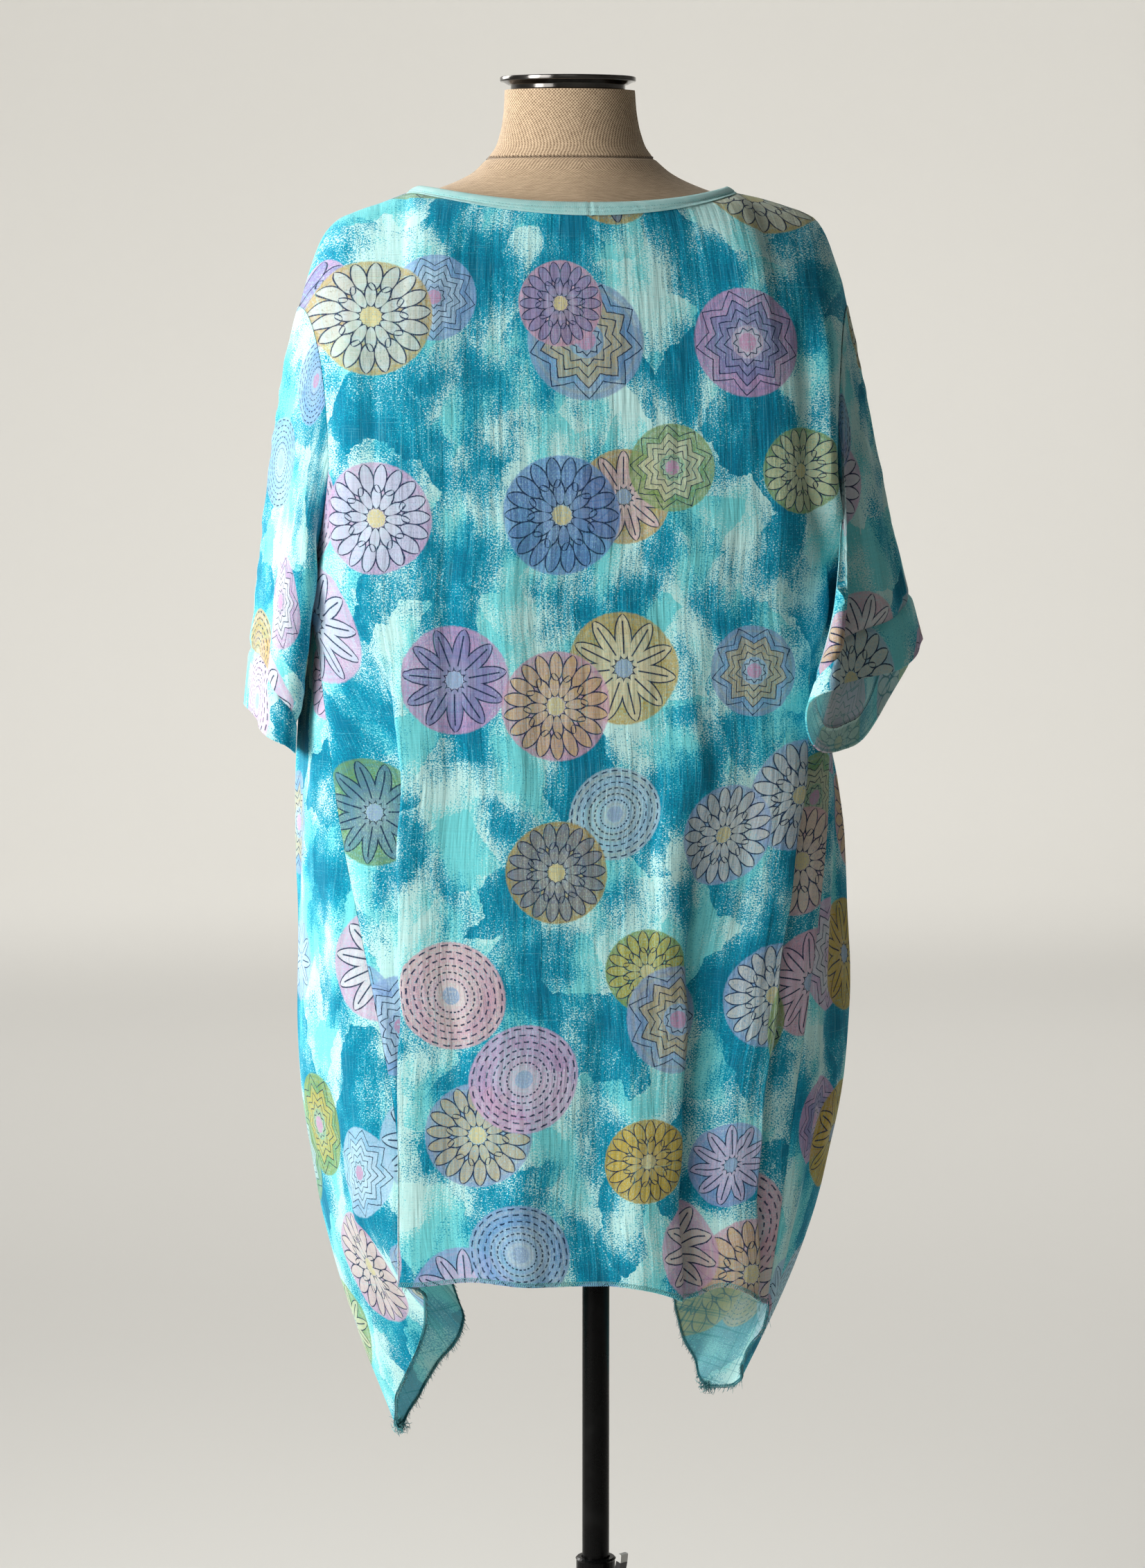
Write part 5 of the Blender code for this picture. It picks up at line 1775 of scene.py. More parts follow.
@dataclass(frozen=True)
class SidePanel(SubAssembly):
    """A side panel: narrow at the armhole, widening downwards, ending in a point."""

    side: Side
    flat: Pair
    area: float
    shift: Pair
    seed: int
    columns: int = 84
    bend_z: float = 0.64

    @cached_property
    def hem(self) -> Table:
        """The free hem between the two seams, by share across.

        Returns:
            The table of its place.
        """
        ends = []
        for share, face in ((0.0, Face.BACK), (1.0, Face.FRONT)):
            half = Half(face, self.side)
            start = Place(half, 0, 1.0).point(HEM_GUESS_Z)[0]
            z = HEM.read(half.name, abs(start[0]))
            x, y, _ = Flank(self.side).point(z, share)
            ends.append((share, abs(x), y, z))
        return Table("share out back z", ends[0], *POINTED_HEM[self.side], ends[1])

    def column(self, share: float, levels: Sequence[float]) -> list[Spot]:
        """A column of the panel, from its hem up.

        Args:
            share: Share of the way from the back seam to the front seam.
            levels: Shares of the way up.

        Returns:
            The points.
        """
        hem_out, hem_back, hem_z = (self.hem.read(n, share) for n in ("out", "back", "z"))
        flank, made = Flank(self.side), []
        end_x, end_y, _ = flank.point(hem_z, share)
        for level in levels:
            z = hem_z + (UNDERARM_Z - hem_z) * level
            lift = sum(
                one.height * grown(one, z) * hill((share - one.at) / one.width)
                for one in RIPPLES[self.side]
            )
            turned = max((self.bend_z - z) / (self.bend_z - hem_z), 0.0) ** 1.5
            x, y, _ = flank.point(z, share, lift, HEM_TRIM * ease(2 * turned))
            x += (self.side * hem_out - end_x) * turned
            y += (hem_back - end_y) * turned
            made.append((x, y, z))
        return made

    def build(self) -> None:
        """Builds the panel, its hem and the frayed threads of its point."""
        count = self.columns
        shares = [0, 0.15 / count, 0.45 / count] + [i / count for i in range(1, count)]
        shares += [1 - 0.45 / count, 1 - 0.15 / count, 1]
        levels = [0, 0.003, 0.007] + [i / 104 for i in range(1, 105)]
        columns = [self.column(share, levels) for share in shares]
        points = np.array(columns).transpose(1, 0, 2)
        across = row_lengths(points)
        width = across[:, -1:]
        to_seam = np.minimum(across, width - across)
        u = across - width / 2
        v = points[:, :, 2]
        flip = self.side == Side.LEFT
        sign = -1 if flip else 1
        normals = sign * grid_normals(points, wrap=False)
        height = crumple(SIDE_CREASES, u, v, self.seed)
        height *= eases(to_seam / 0.016)
        height += 0.00035 * np.sin(v / 0.0058 + 1.9 * np.sin(v * 29)) * np.exp(-to_seam / 0.007)
        height -= 0.0005 * (1 - eases(to_seam / 0.0042))
        edge_wave = np.sin(u / 0.0068 + 1.8 * np.sin(u * 23)) + 0.8 * np.sin(u / 0.017 + 0.6)
        height += 0.0011 * edge_wave * np.exp(-(v - v[0]) / 0.018)
        points = points + normals * height[:, :, None] + CENTRE
        normals = sign * grid_normals(points, wrap=False)
        cut = np.stack([u, v], axis=2) + np.array(self.shift)
        tag = self.side.name.lower()
        name = f"side_panel_{tag}"
        piece = sheet_piece(f"{name}_cloth", points, cut, self.finishes.cotton, flip)
        edge = row_edge(points, normals, 0, 3)
        hem = Overlock(0.0016, 0.003, 0.00042).sew(f"{name}_hem", edge, self.finishes.teal_thread)
        fringe = Fringe()
        threads = fringe.fray(f"{name}_fray", edge, self.finishes.teal_thread)
        tip = points[0, int(np.argmin(points[0, :, 2]))]
        knot = fringe.tuft(f"{name}_knot", tip, 60, self.finishes.teal_thread)
        strands = fringe.tuft(f"{name}_strands", tip + 0.001 * UP, 26, self.finishes.aqua_thread)
        trims = [hem, threads, knot, strands]
        settle(name, piece, *trims)


@dataclass(frozen=True)
class Sleeve(SubAssembly):
    """A short wide sleeve and its cuff, cut from one surface."""

    side: Side
    flat: Pair
    cuff_flat: Pair
    shift: Pair
    seed: int
    area: float = 0.082
    cuff_area: float = 0.0155
    turns: int = 132
    rows: int = 62
    start_step: float = 0.0003  # it starts this far outside the armhole's edge
    length: float = 0.3  # about, from the armhole to the open end
    cuff_shift: Pair = (0.31, -0.43)  # of the cuff on the print, from the sleeve

    def opening_point(self, turn: float) -> Vector:
        """The sleeve's open end.

        Args:
            turn: Degrees round the sleeve.

        Returns:
            The point.
        """
        end = OPENINGS[self.side]
        turn = (turn + end.twist) % 360
        angle = math.radians(turn)
        swell = sum(
            height * hill(((turn - at + 180) % 360 - 180) / width)
            for at, width, height in PLEATS[self.side]
        )
        cos, sin = math.cos(angle), math.sin(angle)
        thin = end.thin * math.copysign(abs(cos) ** 0.9, cos) + swell * math.copysign(1, cos)
        deep = end.deep * math.copysign(abs(sin) ** 0.75, sin)
        yaw = math.radians(end.yaw)
        rise = end.raise_thin * cos + end.raise_deep * sin + end.raise_ends * sin * sin
        return Vector(
            (
                self.side * (end.out + thin * math.cos(yaw) - deep * math.sin(yaw)),
                end.back + thin * math.sin(yaw) + deep * math.cos(yaw),
                end.z + rise,
            )
        )

    def surface(self, levels: Sequence[float]) -> np.ndarray:
        """The sleeve's points, from the underarm once round.

        Args:
            levels: Shares of the way from the armhole to the open end.

        Returns:
            Rows by columns by 3.
        """
        end = OPENINGS[self.side]
        yaw = math.radians(end.yaw)
        columns = []
        for i in range(self.turns + 1):
            turn = 180 + 360 * (i % self.turns) / self.turns
            start = Flank(self.side).armhole(turn)
            start = start + Vector((self.side * self.start_step, 0, 0))
            last = self.opening_point(turn)
            column = []
            for level in levels:
                point = start.lerp(last, level)
                here = math.cos(math.radians(turn + end.twist * level))
                bow = end.bow_out * (1 + here) / 2 + end.bow_in * (1 - here) / 2
                bow *= math.sin(math.pi * level**0.7)
                point.x += self.side * bow * math.cos(yaw)
                point.y += bow * math.sin(yaw)
                column.append(tuple(point))
            columns.append(column)
        return np.array(columns).transpose(1, 0, 2)

    def turned_from(self, turn: np.ndarray | float) -> np.ndarray:
        """Degrees from a turn round the sleeve to each column, -180 to 180."""
        turns = (180 + 360 * np.arange(self.turns + 1) / self.turns)[None, :]
        return (turns - turn + 180) % 360 - 180

    def long_folds(self, level: np.ndarray) -> np.ndarray:
        """The folds that hang along the sleeve.

        Args:
            level: Each point's share of the way to the open end.

        Returns:
            The height at each point.
        """
        total = np.zeros_like(level)
        for turn, slant, width, size, top, full in HANGS[self.side]:
            away = self.turned_from(turn + slant * level)
            total += size * bell(away, width) * eases((level - top) / (full - top))
        return total

    def overarm_seam(self, level: np.ndarray, v: np.ndarray) -> np.ndarray:
        """The puckered seam along the top of the arm.

        Args:
            level: Each point's share of the way to the open end.
            v: Their places along the sleeve.

        Returns:
            The height at each point.
        """
        away = self.turned_from(OVERARM[self.side])
        here = eases(level / 0.1) * (1 - eases((level - CUFF_LEVEL + 0.03) / 0.03))
        pucker = 0.6 * np.sin(v / 0.0046 + 2.2 * np.sin(v * 47)) + 0.4 * np.sin(v / 0.0095 + 1.3)
        welt = bell(away - 4.5, 3.4) + 0.6 * bell(away + 5.0, 3.6)
        groove = bell(away, 2.4)
        return here * (welt * (0.0016 + 0.0011 * pucker) - 0.0014 * groove)

    def build(self) -> None:
        """Builds the sleeve and its cuff."""
        levels = [0, 0.004, 0.01] + [CUFF_LEVEL * i / self.rows for i in range(1, self.rows)]
        levels += [CUFF_LEVEL - 0.006, CUFF_LEVEL - 0.002, CUFF_LEVEL]
        seam = len(levels)
        levels += [CUFF_LEVEL + 0.0006, CUFF_LEVEL + 0.003, CUFF_LEVEL + 0.008]
        levels += [CUFF_LEVEL + (1 - CUFF_LEVEL) * i / 14 for i in range(1, 14)] + [0.994, 1.0]
        points = self.surface(levels)
        across = row_lengths(points)
        u = across - across[:, -1:] / 2
        drops = np.linalg.norm(np.diff(points[::-1], axis=0), axis=2)
        v = np.concatenate([np.zeros((1, u.shape[1])), np.cumsum(drops, axis=0)])[::-1]
        sign = -self.side
        normals = sign * grid_normals(points, wrap=True)
        ring = across / across[:, -1:]
        height = crumple(SLEEVE_CREASES, u, v, self.seed)
        closing = eases(ring / 0.05) * eases((1 - ring) / 0.05)
        level = np.array(levels)[:, None] * np.ones_like(u)
        height += self.long_folds(level)
        height *= closing * eases(level / 0.05) * (1 - 0.75 * eases((level - 0.8) / 0.06))
        height += self.overarm_seam(level, v)
        from_cuff = (level - CUFF_LEVEL) * self.length
        height -= 0.001 * bell(from_cuff, 0.0022)
        gathers = 0.0005 * np.sin(u / 0.0062)
        height += gathers * np.exp(-np.abs(from_cuff) / 0.01) * closing
        height[seam:] += 0.0012 * eases(from_cuff[seam:] / 0.006)
        points = points + normals * height[:, :, None] + CENTRE
        points[:, -1] = points[:, 0]
        normals = sign * grid_normals(points, wrap=True)
        cut = np.stack([u, v], axis=2) + np.array(self.shift)
        tag = self.side.name.lower()
        flip = self.side == Side.LEFT
        sleeve = sheet_piece(
            f"sleeve_{tag}_cloth", points[:seam], cut[:seam], self.finishes.cotton, flip, wrap=True
        )
        cuff = sheet_piece(
            f"cuff_{tag}_cloth", points[seam:], cut[seam:] + np.array(self.cuff_shift),
            self.finishes.cotton, flip, wrap=True, wall=0.0016,
        )
        settle(f"sleeve_{tag}", sleeve)
        settle(f"cuff_{tag}", cuff)
        sleeve.name


@dataclass(frozen=True)
class NeckBinding(SubAssembly):
    """A folded jersey band over the raw neck edge, with two rows of stitches."""

    overlap: float = 0.004  # how far it reaches down over the cloth
    rise: float = 0.0088  # how far it stands above the cloth's edge
    wall: float = 0.0008
    stand: float = 0.00155  # of each leg from the cloth
    stitch: float = 0.0029
    width: float = 0.028  # of the flat strip

    def loop(self, edges: dict[Face, tuple[Edge, Edge]]) -> Edge:
        """The neck's edge once round, at even steps.

        Args:
            edges: The right and left neck edges of each face.

        Returns:
            The edge, with its first point repeated at the end.
        """
        back_right, back_left = edges[Face.BACK]
        front_right, front_left = edges[Face.FRONT]
        runs = (
            [values[::-1] for values in back_right], list(back_left),
            [values[::-1] for values in front_left], list(front_right),
        )
        joined = [
            np.concatenate([run[i][:-1] if k % 2 else run[i] for k, run in enumerate(runs)])
            for i in range(3)
        ]
        smooth = []
        kernel = np.ones(13) / 13
        for values in Edge(*joined).closed().resampled(0.0021):
            padded = np.concatenate([values[-6:], values, values[:6]])
            smooth.append(
                np.stack([np.convolve(padded[:, i], kernel, "valid") for i in range(3)], axis=1)
            )
        return Edge(*smooth).closed()

    def build(self, edges: dict[Face, tuple[Edge, Edge]]) -> None:
        """Builds the band and its stitches.

        Args:
            edges: The right and left neck edges of each face.
        """
        points, down, out = self.loop(edges)
        down, out = unit(down), unit(out)
        level = points - CENTRE
        level[:, 2] = 0
        level = unit(level)
        deep = np.abs(points[:, 1:2] - BODY_Y) / NECK_REACH[Face.BACK]
        steep = np.where(points[:, 1:2] > BODY_Y, 0.85, 0.75)
        angle = np.radians(35 + 15 * deep * steep)
        slope = -level * np.cos(angle) + UP * np.sin(angle)
        over = unit(np.cross(np.gradient(points, axis=0), slope))
        over *= np.sign((over * (level + UP)).sum(axis=1, keepdims=True))
        rows, widths = [], []
        legs = (0, 0.0011, 0.0022, 0.003, 0.0038, 0.0048, 0.006, 0.0068, 0.0076, 0.0092, 0.0112)
        total = self.overlap + self.rise
        for at in legs:  # up the outer leg
            gone = at - self.overlap
            plump = 0.00055 * math.sin(math.pi * at / total) ** 0.6
            groove = 0.00042 * (bell(at - 0.003, 0.0006) + bell(at - 0.0068, 0.0006))
            lift = self.stand + plump - groove
            if gone < 0:
                rows.append(points - down * gone + out * lift)
            else:
                blend = ease(gone / 0.003)
                rows.append(points + slope * gone + (out * (1 - blend) + over * blend) * lift)
            widths.append(at)
        for turn in (35, 75, 105, 145):  # round the fold
            tilt = math.radians(turn)
            reach = self.rise + 0.0004 + 0.0009 * math.sin(tilt)
            rows.append(points + slope * reach + over * self.stand * math.cos(tilt))
            widths.append(total + 0.0012 * turn / 60)
        for at in (0.008, 0.0055, 0.0025, 0.0, -0.002, -0.0036):  # down the inner leg
            base = points + slope * max(at, 0) + down * max(-at, 0)
            rows.append(base - (over if at > 0 else out) * self.stand * 0.9)
            widths.append(total + 0.0028 + self.rise - at)
        grid = np.stack(rows)
        grid[:, -1] = grid[:, 0]
        along = row_lengths(grid[3:4])[0]
        pucker = 0.00016 * np.sin(along * math.tau / self.stitch)[None, :, None]
        grid[2:8] += pucker * over[None]
        middle = np.abs(points[:, 0] - BODY_X) + 10.0 * (points[:, 1] < BODY_Y)
        join = bell(middle, 0.0009) - 0.45 * bell(middle - 0.0032, 0.0016)
        grid[:13] -= 0.0008 * join[None, :, None] * over[None]
        cut = np.stack(np.broadcast_arrays(along, np.array(widths)[:, None]), axis=2)
        flip = float((grid_normals(grid, wrap=True)[3] * out).sum()) < 0
        band = sheet_piece(
            "neck_band", grid, cut, self.finishes.jersey, flip, wrap=True, wall=self.wall
        )
        seams = [self.stitches(grid[row], over, along) for row in (3, 7)]
        sewing = tube_pieces(
            "neck_topstitch", np.concatenate(seams), 0.00024, self.finishes.aqua_thread
        )
        settle("neck_binding", band, sewing)

    def stitches(self, row: np.ndarray, over: np.ndarray, along: np.ndarray) -> np.ndarray:
        """A row of stitches lying in its groove.

        Args:
            row: The groove's points.
            over: The way outwards at each.
            along: Their lengths along the band.

        Returns:
            The stitches' paths.
        """
        starts = np.arange(0.0005, along[-1] - self.stitch, self.stitch)
        paths = []
        shares, lifts = (0.0, 0.12, 0.45, 0.62, 0.74), (0.00018, 0.0005, 0.00062, 0.0005, 0.00018)
        for share, lift in zip(shares, lifts):
            stops = starts + self.stitch * share
            place = [np.interp(stops, along, row[:, i] + over[:, i] * lift) for i in range(3)]
            paths.append(np.stack(place, axis=1))
        return np.stack(paths, axis=1)


# ---------------------------------------------------------------- dress form and cap
# Upright seams of the form: turn from the middle of the back, and True for one of the neck.
SEAM_TURNS = (
    (1.571, False), (-1.571, False), (2.52, False), (-2.52, False), (math.pi, False),
    (-1.26, True), (1.88, True),
)


@dataclass(frozen=True)
class DressForm(SubAssembly):
    """The padded bust, covered with linen."""

    segments: int = 150
    rows: int = 150
    neck_seam_z: float = 1.5755
    groove: float = 0.0011
    # Height, half-width, reach behind and in front of the ridge plane, and squareness.
    sections: tuple[tuple[float, ...], ...] = (
        (0.88, 0.16, 0.1, 0.1, 2.3), (0.92, 0.169, 0.11, 0.106, 2.3),
        (0.97, 0.164, 0.106, 0.104, 2.3), (1.04, 0.137, 0.086, 0.092, 2.3),
        (1.09, 0.124, 0.076, 0.088, 2.3), (1.15, 0.133, 0.08, 0.1, 2.3),
        (1.22, 0.152, 0.089, 0.126, 2.4), (1.27, 0.161, 0.094, 0.133, 2.4),
        (1.33, 0.17, 0.099, 0.12, 2.4), (1.39, 0.186, 0.1, 0.105, 2.4),
        (1.44, 0.203, 0.095, 0.093, 2.4), (1.475, 0.211, 0.088, 0.082, 2.2),
        (1.502, 0.211, 0.08, 0.072, 2.0), (1.5165, 0.204, 0.074, 0.066, 1.7),
        (1.527, 0.188, 0.069, 0.064, 1.6), (1.536, 0.162, 0.064, 0.064, 1.6),
        (1.5438, 0.134, 0.06, 0.066, 1.7), (1.551, 0.113, 0.056, 0.069, 1.8),
        (1.56, 0.0935, 0.052, 0.071, 1.9), (1.571, 0.08, 0.048, 0.0715, 2.0),
        (1.583, 0.0695, 0.043, 0.071, 2.0), (1.597, 0.064, 0.039, 0.0705, 2.0),
        (1.615, 0.0605, 0.034, 0.071, 2.0), (1.636, 0.059, 0.031, 0.074, 2.0),
    )

    def seam_height(self, angle: float) -> float:
        """Height of the neck seam round the neck; it dips in front."""
        return self.neck_seam_z - 0.012 * max(-math.cos(angle), 0.0)

    def surface(self) -> tuple[np.ndarray, np.ndarray]:
        """The form's rings, from the bottom up.

        Returns:
            The points, and the turn of each column in radians.
        """
        table = Table("z half back front square", *self.sections)
        low, high = table.key[0], table.key[-1]
        heights = [low + 0.0015 * i for i in range(4)]
        heights += list(np.linspace(low + 0.008, 1.49, self.rows * 2 // 3))
        heights += list(np.linspace(1.494, 1.562, self.rows // 4))
        heights += list(np.linspace(1.563, 1.58, 24))
        heights += list(np.linspace(1.5815, high, self.rows // 4))
        turns = [math.tau * i / self.segments for i in range(self.segments)]
        for at, _ in SEAM_TURNS:
            turns += [at % math.tau + step for step in (-0.028, -0.013, 0.013, 0.028)]
        turns = sorted(turns)
        turns.append(turns[0])
        grid = []
        for z in heights:
            names = ("half", "back", "front", "square")
            half, back, front, square = (table.read(name, z) for name in names)
            blend = 0.5 * min(max((z - 1.56) / 0.011, 0.0), 1.0)
            middle, deep = (back - front) / 2, (back + front) / 2
            ring = []
            for angle in turns:
                cos, sin = math.cos(angle), math.sin(angle)
                x = half * math.copysign(abs(sin) ** (2 / square), sin)
                y = math.copysign(abs(cos) ** (2 / square), cos)
                reach = back if cos >= 0 else front
                y = y * reach * (1 - blend) + (middle + y * deep) * blend
                ring.append((x, y, z))
            grid.append(ring)
        return np.array(grid), np.array(turns)

    def build(self) -> None:
        """Builds the bust with its seams, and the sewing of the neck seam."""
        points, turns = self.surface()
        normals = grid_normals(points, wrap=True)
        if float((normals[10, 0] * np.array([0, 1, 0])).sum()) < 0:
            normals = -normals
        z = points[:, :, 2]
        seam_z = np.array([self.seam_height(a) for a in turns])[None, :]
        sunk = bell(z - seam_z, 0.0016)
        below = eases((seam_z - z) / 0.004)
        for at, on_neck in SEAM_TURNS:
            away = np.abs((turns[None, :] - at + math.pi) % math.tau - math.pi)
            there = 1 - below if on_neck else below
            reach = np.hypot(points[:, :, 0], points[:, :, 1])
            sunk += 0.9 * bell(away * reach, 0.0013) * there
        sunk = np.clip(sunk, 0, 1)
        points = points - normals * (self.groove * sunk)[:, :, None]
        points[:, -1] = points[:, 0]
        across = row_lengths(points)
        climbed = np.linalg.norm(np.diff(points.mean(axis=1), axis=0), axis=1)
        up = np.concatenate([[0], np.cumsum(climbed)])
        cut = np.stack([across - across[:, -1:] / 2, up[:, None] * np.ones_like(across)], axis=2)
        rows, kept = len(points), len(turns) - 1
        faces = grid_faces(rows, kept + 1, CORNERS[:1] + CORNERS[:0:-1])
        faces.append([(0, c) for c in range(kept)])
        faces.append([(rows - 1, c) for c in reversed(range(kept))])
        points = points + CENTRE
        dressing = (self.finishes.linen, self.finishes.board)
        body = grid_piece("form_body", points[:, :kept], cut, faces, dressing)
        # The grooves' depth, which the linen reads to paint shade along the seams.
        seam = body.data.attributes.new("seam", "FLOAT", "POINT")
        seam.data.foreach_set("value", sunk[:, :kept].astype(np.float32).ravel())
        body.data.polygons[len(faces) - 2].material_index = 1
        for face in (-2, -1):
            body.data.polygons[len(faces) + face].use_smooth = False
        body.data.set_sharp_from_angle(angle=math.radians(50))
        settle("dress_form", body, self.sew_neck(points, normals, turns))

    def sew_neck(self, points: np.ndarray, normals: np.ndarray, turns: np.ndarray) -> Piece:
        """Sews the neck seam with slanted stitches.

        Args:
            points: The form's rings.
            normals: Their normals.
            turns: The turn of each column.

        Returns:
            The stitches.
        """
        line, out = [], []
        for c, turn in enumerate(turns):
            column = points[:, c]
            z = self.seam_height(turn)
            place = [float(np.interp(z, column[:, 2], column[:, i])) for i in range(2)]
            line.append((*place, z))
            row = int(np.argmin(np.abs(column[:, 2] - z)))
            out.append(normals[row, c])
        edge = Edge(np.array(line), np.tile(UP, (len(line), 1)), np.array(out))
        fine = edge.resampled(0.0042)
        along = fine.along
        paths = [
            fine.points + along * at + UP * up + fine.normals * lift
            for at, up, lift in (
                (-0.0011, -0.0012, -0.0001), (-0.0004, -0.0005, 0.0007),
                (0.0004, 0.0005, 0.0007), (0.0011, 0.0012, -0.0001),
            )
        ]
        stitches = np.stack(paths, axis=1)
        return tube_pieces("neck_seam_stitches", stitches, 0.00022, self.finishes.brown_thread)


@dataclass(frozen=True)
class NeckCap(SubAssembly):
    """The polished cap on the neck, on a short stem."""

    radius: float = 0.0617
    rim: float = 0.0044
    dish: float = 0.0026  # the underside's depth between rim and stem
    stem_radius: float = 0.052

    @staticmethod
    def select_level(cap: Piece, way: int) -> None:
        """Selects the level faces that look up or down, and leaves the cap in edit mode.

        Args:
            cap: The cap, in edit mode.
            way: 1 for up, -1 for down.
        """
        bpy.ops.object.mode_set(mode="OBJECT")
        for face in cap.data.polygons:
            face.select = face.normal.z * way > 0.9
        bpy.ops.object.mode_set(mode="EDIT")

    def build(self) -> None:
        """Builds the cap from a cylinder: a thin rim, a shallow dish, a hollow-cut underside."""
        low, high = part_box("neck_cap")
        middle = (low + high) / 2
        bpy.ops.object.select_all(action="DESELECT")
        bpy.ops.mesh.primitive_cylinder_add(
            vertices=128, radius=self.radius - 0.0002, depth=self.rim,
            location=(middle.x, middle.y, high.z - self.rim / 2),
        )
        cap = bpy.context.active_object
        cap.name = cap.data.name = "cap_plate"
        bpy.ops.object.mode_set(mode="EDIT")
        bpy.ops.mesh.select_mode(type="FACE")
        self.select_level(cap, 1)
        bpy.ops.mesh.inset(thickness=0.0045, depth=0)
        bpy.ops.mesh.inset(thickness=0.0015, depth=-0.0007)
        self.select_level(cap, -1)
        bpy.ops.mesh.inset(thickness=0.0022, depth=0)
        bpy.ops.mesh.inset(thickness=0.005, depth=0)
        bpy.ops.transform.translate(value=(0, 0, -self.dish))
        bpy.ops.mesh.inset(thickness=self.radius - self.stem_radius - 0.0072, depth=0)
        stem = high.z - low.z - self.rim - self.dish
        bpy.ops.mesh.extrude_region_move(TRANSFORM_OT_translate={"value": (0, 0, -stem)})
        bpy.ops.object.mode_set(mode="OBJECT")
        bevel = cap.modifiers.new("rim", "BEVEL")
        bevel.width = 0.001
        bevel.segments = 4
        bevel.limit_method = "ANGLE"
        bevel.angle_limit = math.radians(60)
        cap.data.transform(cap.matrix_world)
        cap.location = (0, 0, 0)
        apply_all(cap)
        bpy.ops.object.shade_smooth_by_angle(angle=math.radians(35))
        cap.data.materials.append(self.finishes.chrome)
        settle("neck_cap", cap)


# ---------------------------------------------------------------- stand and studio
@dataclass(frozen=True)
class Stand(SubAssembly):
    """The telescopic stand, whose CAD nodes keep their shapes."""

    def dress(self) -> None:
        """Gives each metal node its finish."""
        chosen = {
            "pole": self.finishes.gloss_black, "stand_tube": self.finishes.gloss_black,
            "stand_base": self.finishes.satin_black, "clamp_bracket": self.finishes.satin_black,
            "clamp_pin": self.finishes.steel, "lever": self.finishes.satin_black,
            "lever_tip": self.finishes.grey_plastic,
        }
        for name, finish in chosen.items():
            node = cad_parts[name]
            if not node.material_slots:
                node.data.materials.append(finish)
            for slot in node.material_slots:
                slot.material = finish
            LOG.info("%s is finished in %s", name, finish.name)


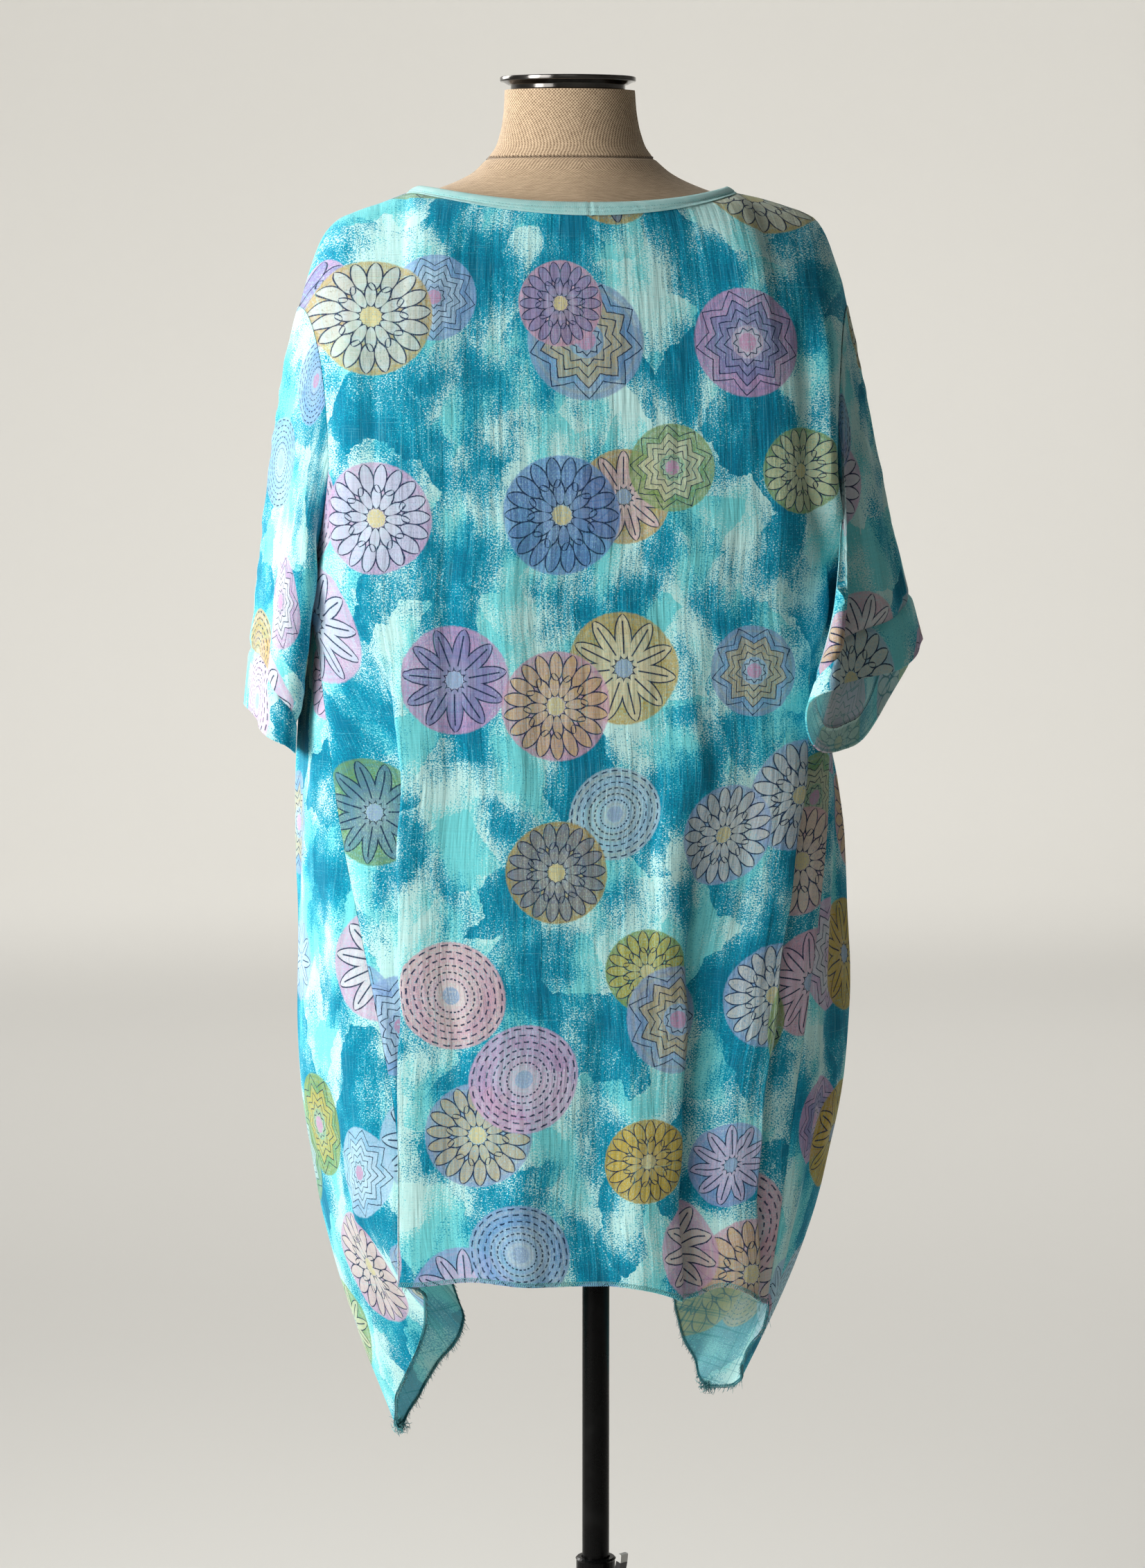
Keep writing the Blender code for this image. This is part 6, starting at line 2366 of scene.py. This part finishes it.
@dataclass(frozen=True)
class Studio:
    """A pale floor that sweeps up all round, soft lights and the camera."""

    reach: float = 4.2  # from the form's axis to the camera
    eye_z: float = 1.45
    turn: float = 11.0  # degrees that the camera stands off the tunic's back
    dip: float = 6.01  # degrees that it looks down
    lens: float = 106.06
    floor_radius: float = 7.6
    sweep_radius: float = 2.2
    wall_height: float = 3.4

    def paper(self) -> Finish:
        """Plain pale background paper.

        Returns:
            The material.
        """
        pen = Pen("studio_paper", 0.95)
        tone = pen.noise(pen.place(), 0.6)
        pen.set("Base Color", pen.mix(tone, (0.668, 0.658, 0.626), (0.688, 0.678, 0.646)))
        pen.set("Specular IOR Level", 0.0)
        return pen.material

    def sweep(self) -> None:
        """Builds the floor and the wall that it curves into."""
        bpy.ops.object.select_all(action="DESELECT")
        bpy.ops.mesh.primitive_circle_add(
            vertices=96, radius=self.floor_radius, fill_type="NGON", location=(0, 0, 0)
        )
        floor = bpy.context.active_object
        floor.name = "floor"
        bpy.ops.object.mode_set(mode="EDIT")
        bpy.ops.mesh.select_mode(type="EDGE")
        bpy.ops.mesh.select_all(action="SELECT")
        radius, height = self.floor_radius, 0.0
        steps = 12
        profile = [
            (
                self.floor_radius + self.sweep_radius * math.sin(i * math.pi / 2 / steps),
                self.sweep_radius * (1 - math.cos(i * math.pi / 2 / steps)),
            )
            for i in range(1, steps + 1)
        ]
        profile.append((profile[-1][0], profile[-1][1] + self.wall_height))
        bpy.ops.mesh.region_to_loop()
        for wide, high in profile:
            bpy.ops.mesh.extrude_edges_move(TRANSFORM_OT_translate={"value": (0, 0, high - height)})
            bpy.ops.transform.resize(value=(wide / radius, wide / radius, 1))
            radius, height = wide, high
        bpy.ops.object.mode_set(mode="OBJECT")
        bpy.ops.object.shade_smooth_by_angle(angle=math.radians(60))
        floor.data.materials.append(self.paper())

    def light(
        self, name: str, place: Spot, aim: Spot, size: Pair, watts: float,
        spread: float = 180, colour: Colour = (1.0, 0.985, 0.96),
    ) -> None:
        """A soft box.

        Args:
            name: The light's name.
            place: Where it stands.
            aim: What it points at.
            size: Its width and height.
            watts: Its power.
            spread: The beam's opening in degrees.
            colour: Its colour.
        """
        lamp = bpy.data.lights.new(name, "AREA")
        lamp.shape = "RECTANGLE"
        lamp.size, lamp.size_y = size
        lamp.energy = watts
        lamp.spread = math.radians(spread)
        lamp.color = colour
        made = bpy.data.objects.new(name, lamp)
        made.location = place
        made.rotation_euler = (Vector(aim) - Vector(place)).to_track_quat("-Z", "Y").to_euler()
        bpy.context.scene.collection.objects.link(made)

    def camera(self) -> None:
        """Sets the camera up."""
        turn, dip = math.radians(self.turn), math.radians(self.dip)
        data = bpy.data.cameras.new("camera")
        data.sensor_width = 36
        data.lens = self.lens
        made = bpy.data.objects.new("camera", data)
        made.location = (
            BODY_X + math.sin(turn) * self.reach, BODY_Y + math.cos(turn) * self.reach, self.eye_z
        )
        look = Vector(
            (-math.sin(turn) * math.cos(dip), -math.cos(turn) * math.cos(dip), -math.sin(dip))
        )
        made.rotation_euler = look.to_track_quat("-Z", "Y").to_euler()
        bpy.context.scene.collection.objects.link(made)
        bpy.context.scene.camera = made

    def build(self) -> None:
        """Builds the studio."""
        self.sweep()
        self.camera()
        body = (0.0, 0.1, 1.1)
        self.light("key", (3.3, 1.15, 1.9), body, (1.2, 2.4), 33, 80)
        self.light("second_key", (2.8, 2.3, 1.9), body, (1.2, 2.4), 12, 80)
        self.light("fill", (0.9, 4.2, 2.6), body, (2.4, 1.6), 0.6, 60)
        self.light("front_fill", (2.4, -3.2, 2.6), body, (1.8, 1.8), 20, 60)
        self.light("floor_wash", (-0.5, -4.1, 4.9), (-0.5, -4.1, 0.0), (8.0, 6.0), 165, 110)
        self.light("wall_wash", (-1.0, -5.4, 4.4), (-1.2, -9.4, 1.5), (7.5, 1.2), 118, 110)
        self.light("general", (0.0, 1.0, 5.4), (0.0, 1.0, 0.0), (6.0, 5.0), 3, 180)
        for name, x, y, watts in (
            ("back_wash", 0, 1, 42), ("left_wash", 1, 0, 45), ("right_wash", -1, 0, 9)
        ):
            size = (7.0, 2.0) if y else (2.0, 7.0)
            self.light(name, (4.8 * x, 4.8 * y, 4.8), (8.2 * x, 8.2 * y, 0.9), size, watts, 120)
        world = bpy.data.worlds.new("world")
        world.use_nodes = True
        glow, strength = world.node_tree.nodes["Background"].inputs[:2]
        glow.default_value, strength.default_value = (1.0, 0.975, 0.94, 1), 0.014
        bpy.context.scene.world = world
        bpy.context.scene.view_settings.view_transform = "Standard"
        bpy.context.scene.view_settings.look = "None"


def main() -> None:
    """Builds the object's sub-assemblies in order, and the studio round them."""
    logging.basicConfig(level=logging.INFO, format="%(name)s: %(message)s")
    finishes = Finishes()
    panels = (
        Panel(finishes, Face.BACK, (0.66, 1.04), 0.56, (0.013, 0.02), 11),
        Panel(finishes, Face.FRONT, (0.66, 1.03), 0.51, (1.913, 1.02), 23),
    )
    edges = {panel.face: panel.build() for panel in panels}
    SidePanel(finishes, Side.LEFT, (0.44, 0.77), 0.18, (4.07, 0.31), 37).build()
    SidePanel(finishes, Side.RIGHT, (0.4, 0.75), 0.175, (5.61, 0.77), 41).build()
    Sleeve(finishes, Side.LEFT, (0.62, 0.3), (0.42, 0.045), (7.03, 0.42), 53).build()
    Sleeve(finishes, Side.RIGHT, (0.62, 0.3), (0.44, 0.045), (8.44, 0.11), 61).build()
    NeckBinding(finishes).build(edges)
    DressForm(finishes).build()
    NeckCap(finishes).build()
    Stand(finishes).dress()
    Studio().build()


if __name__ == "__main__":
    main()
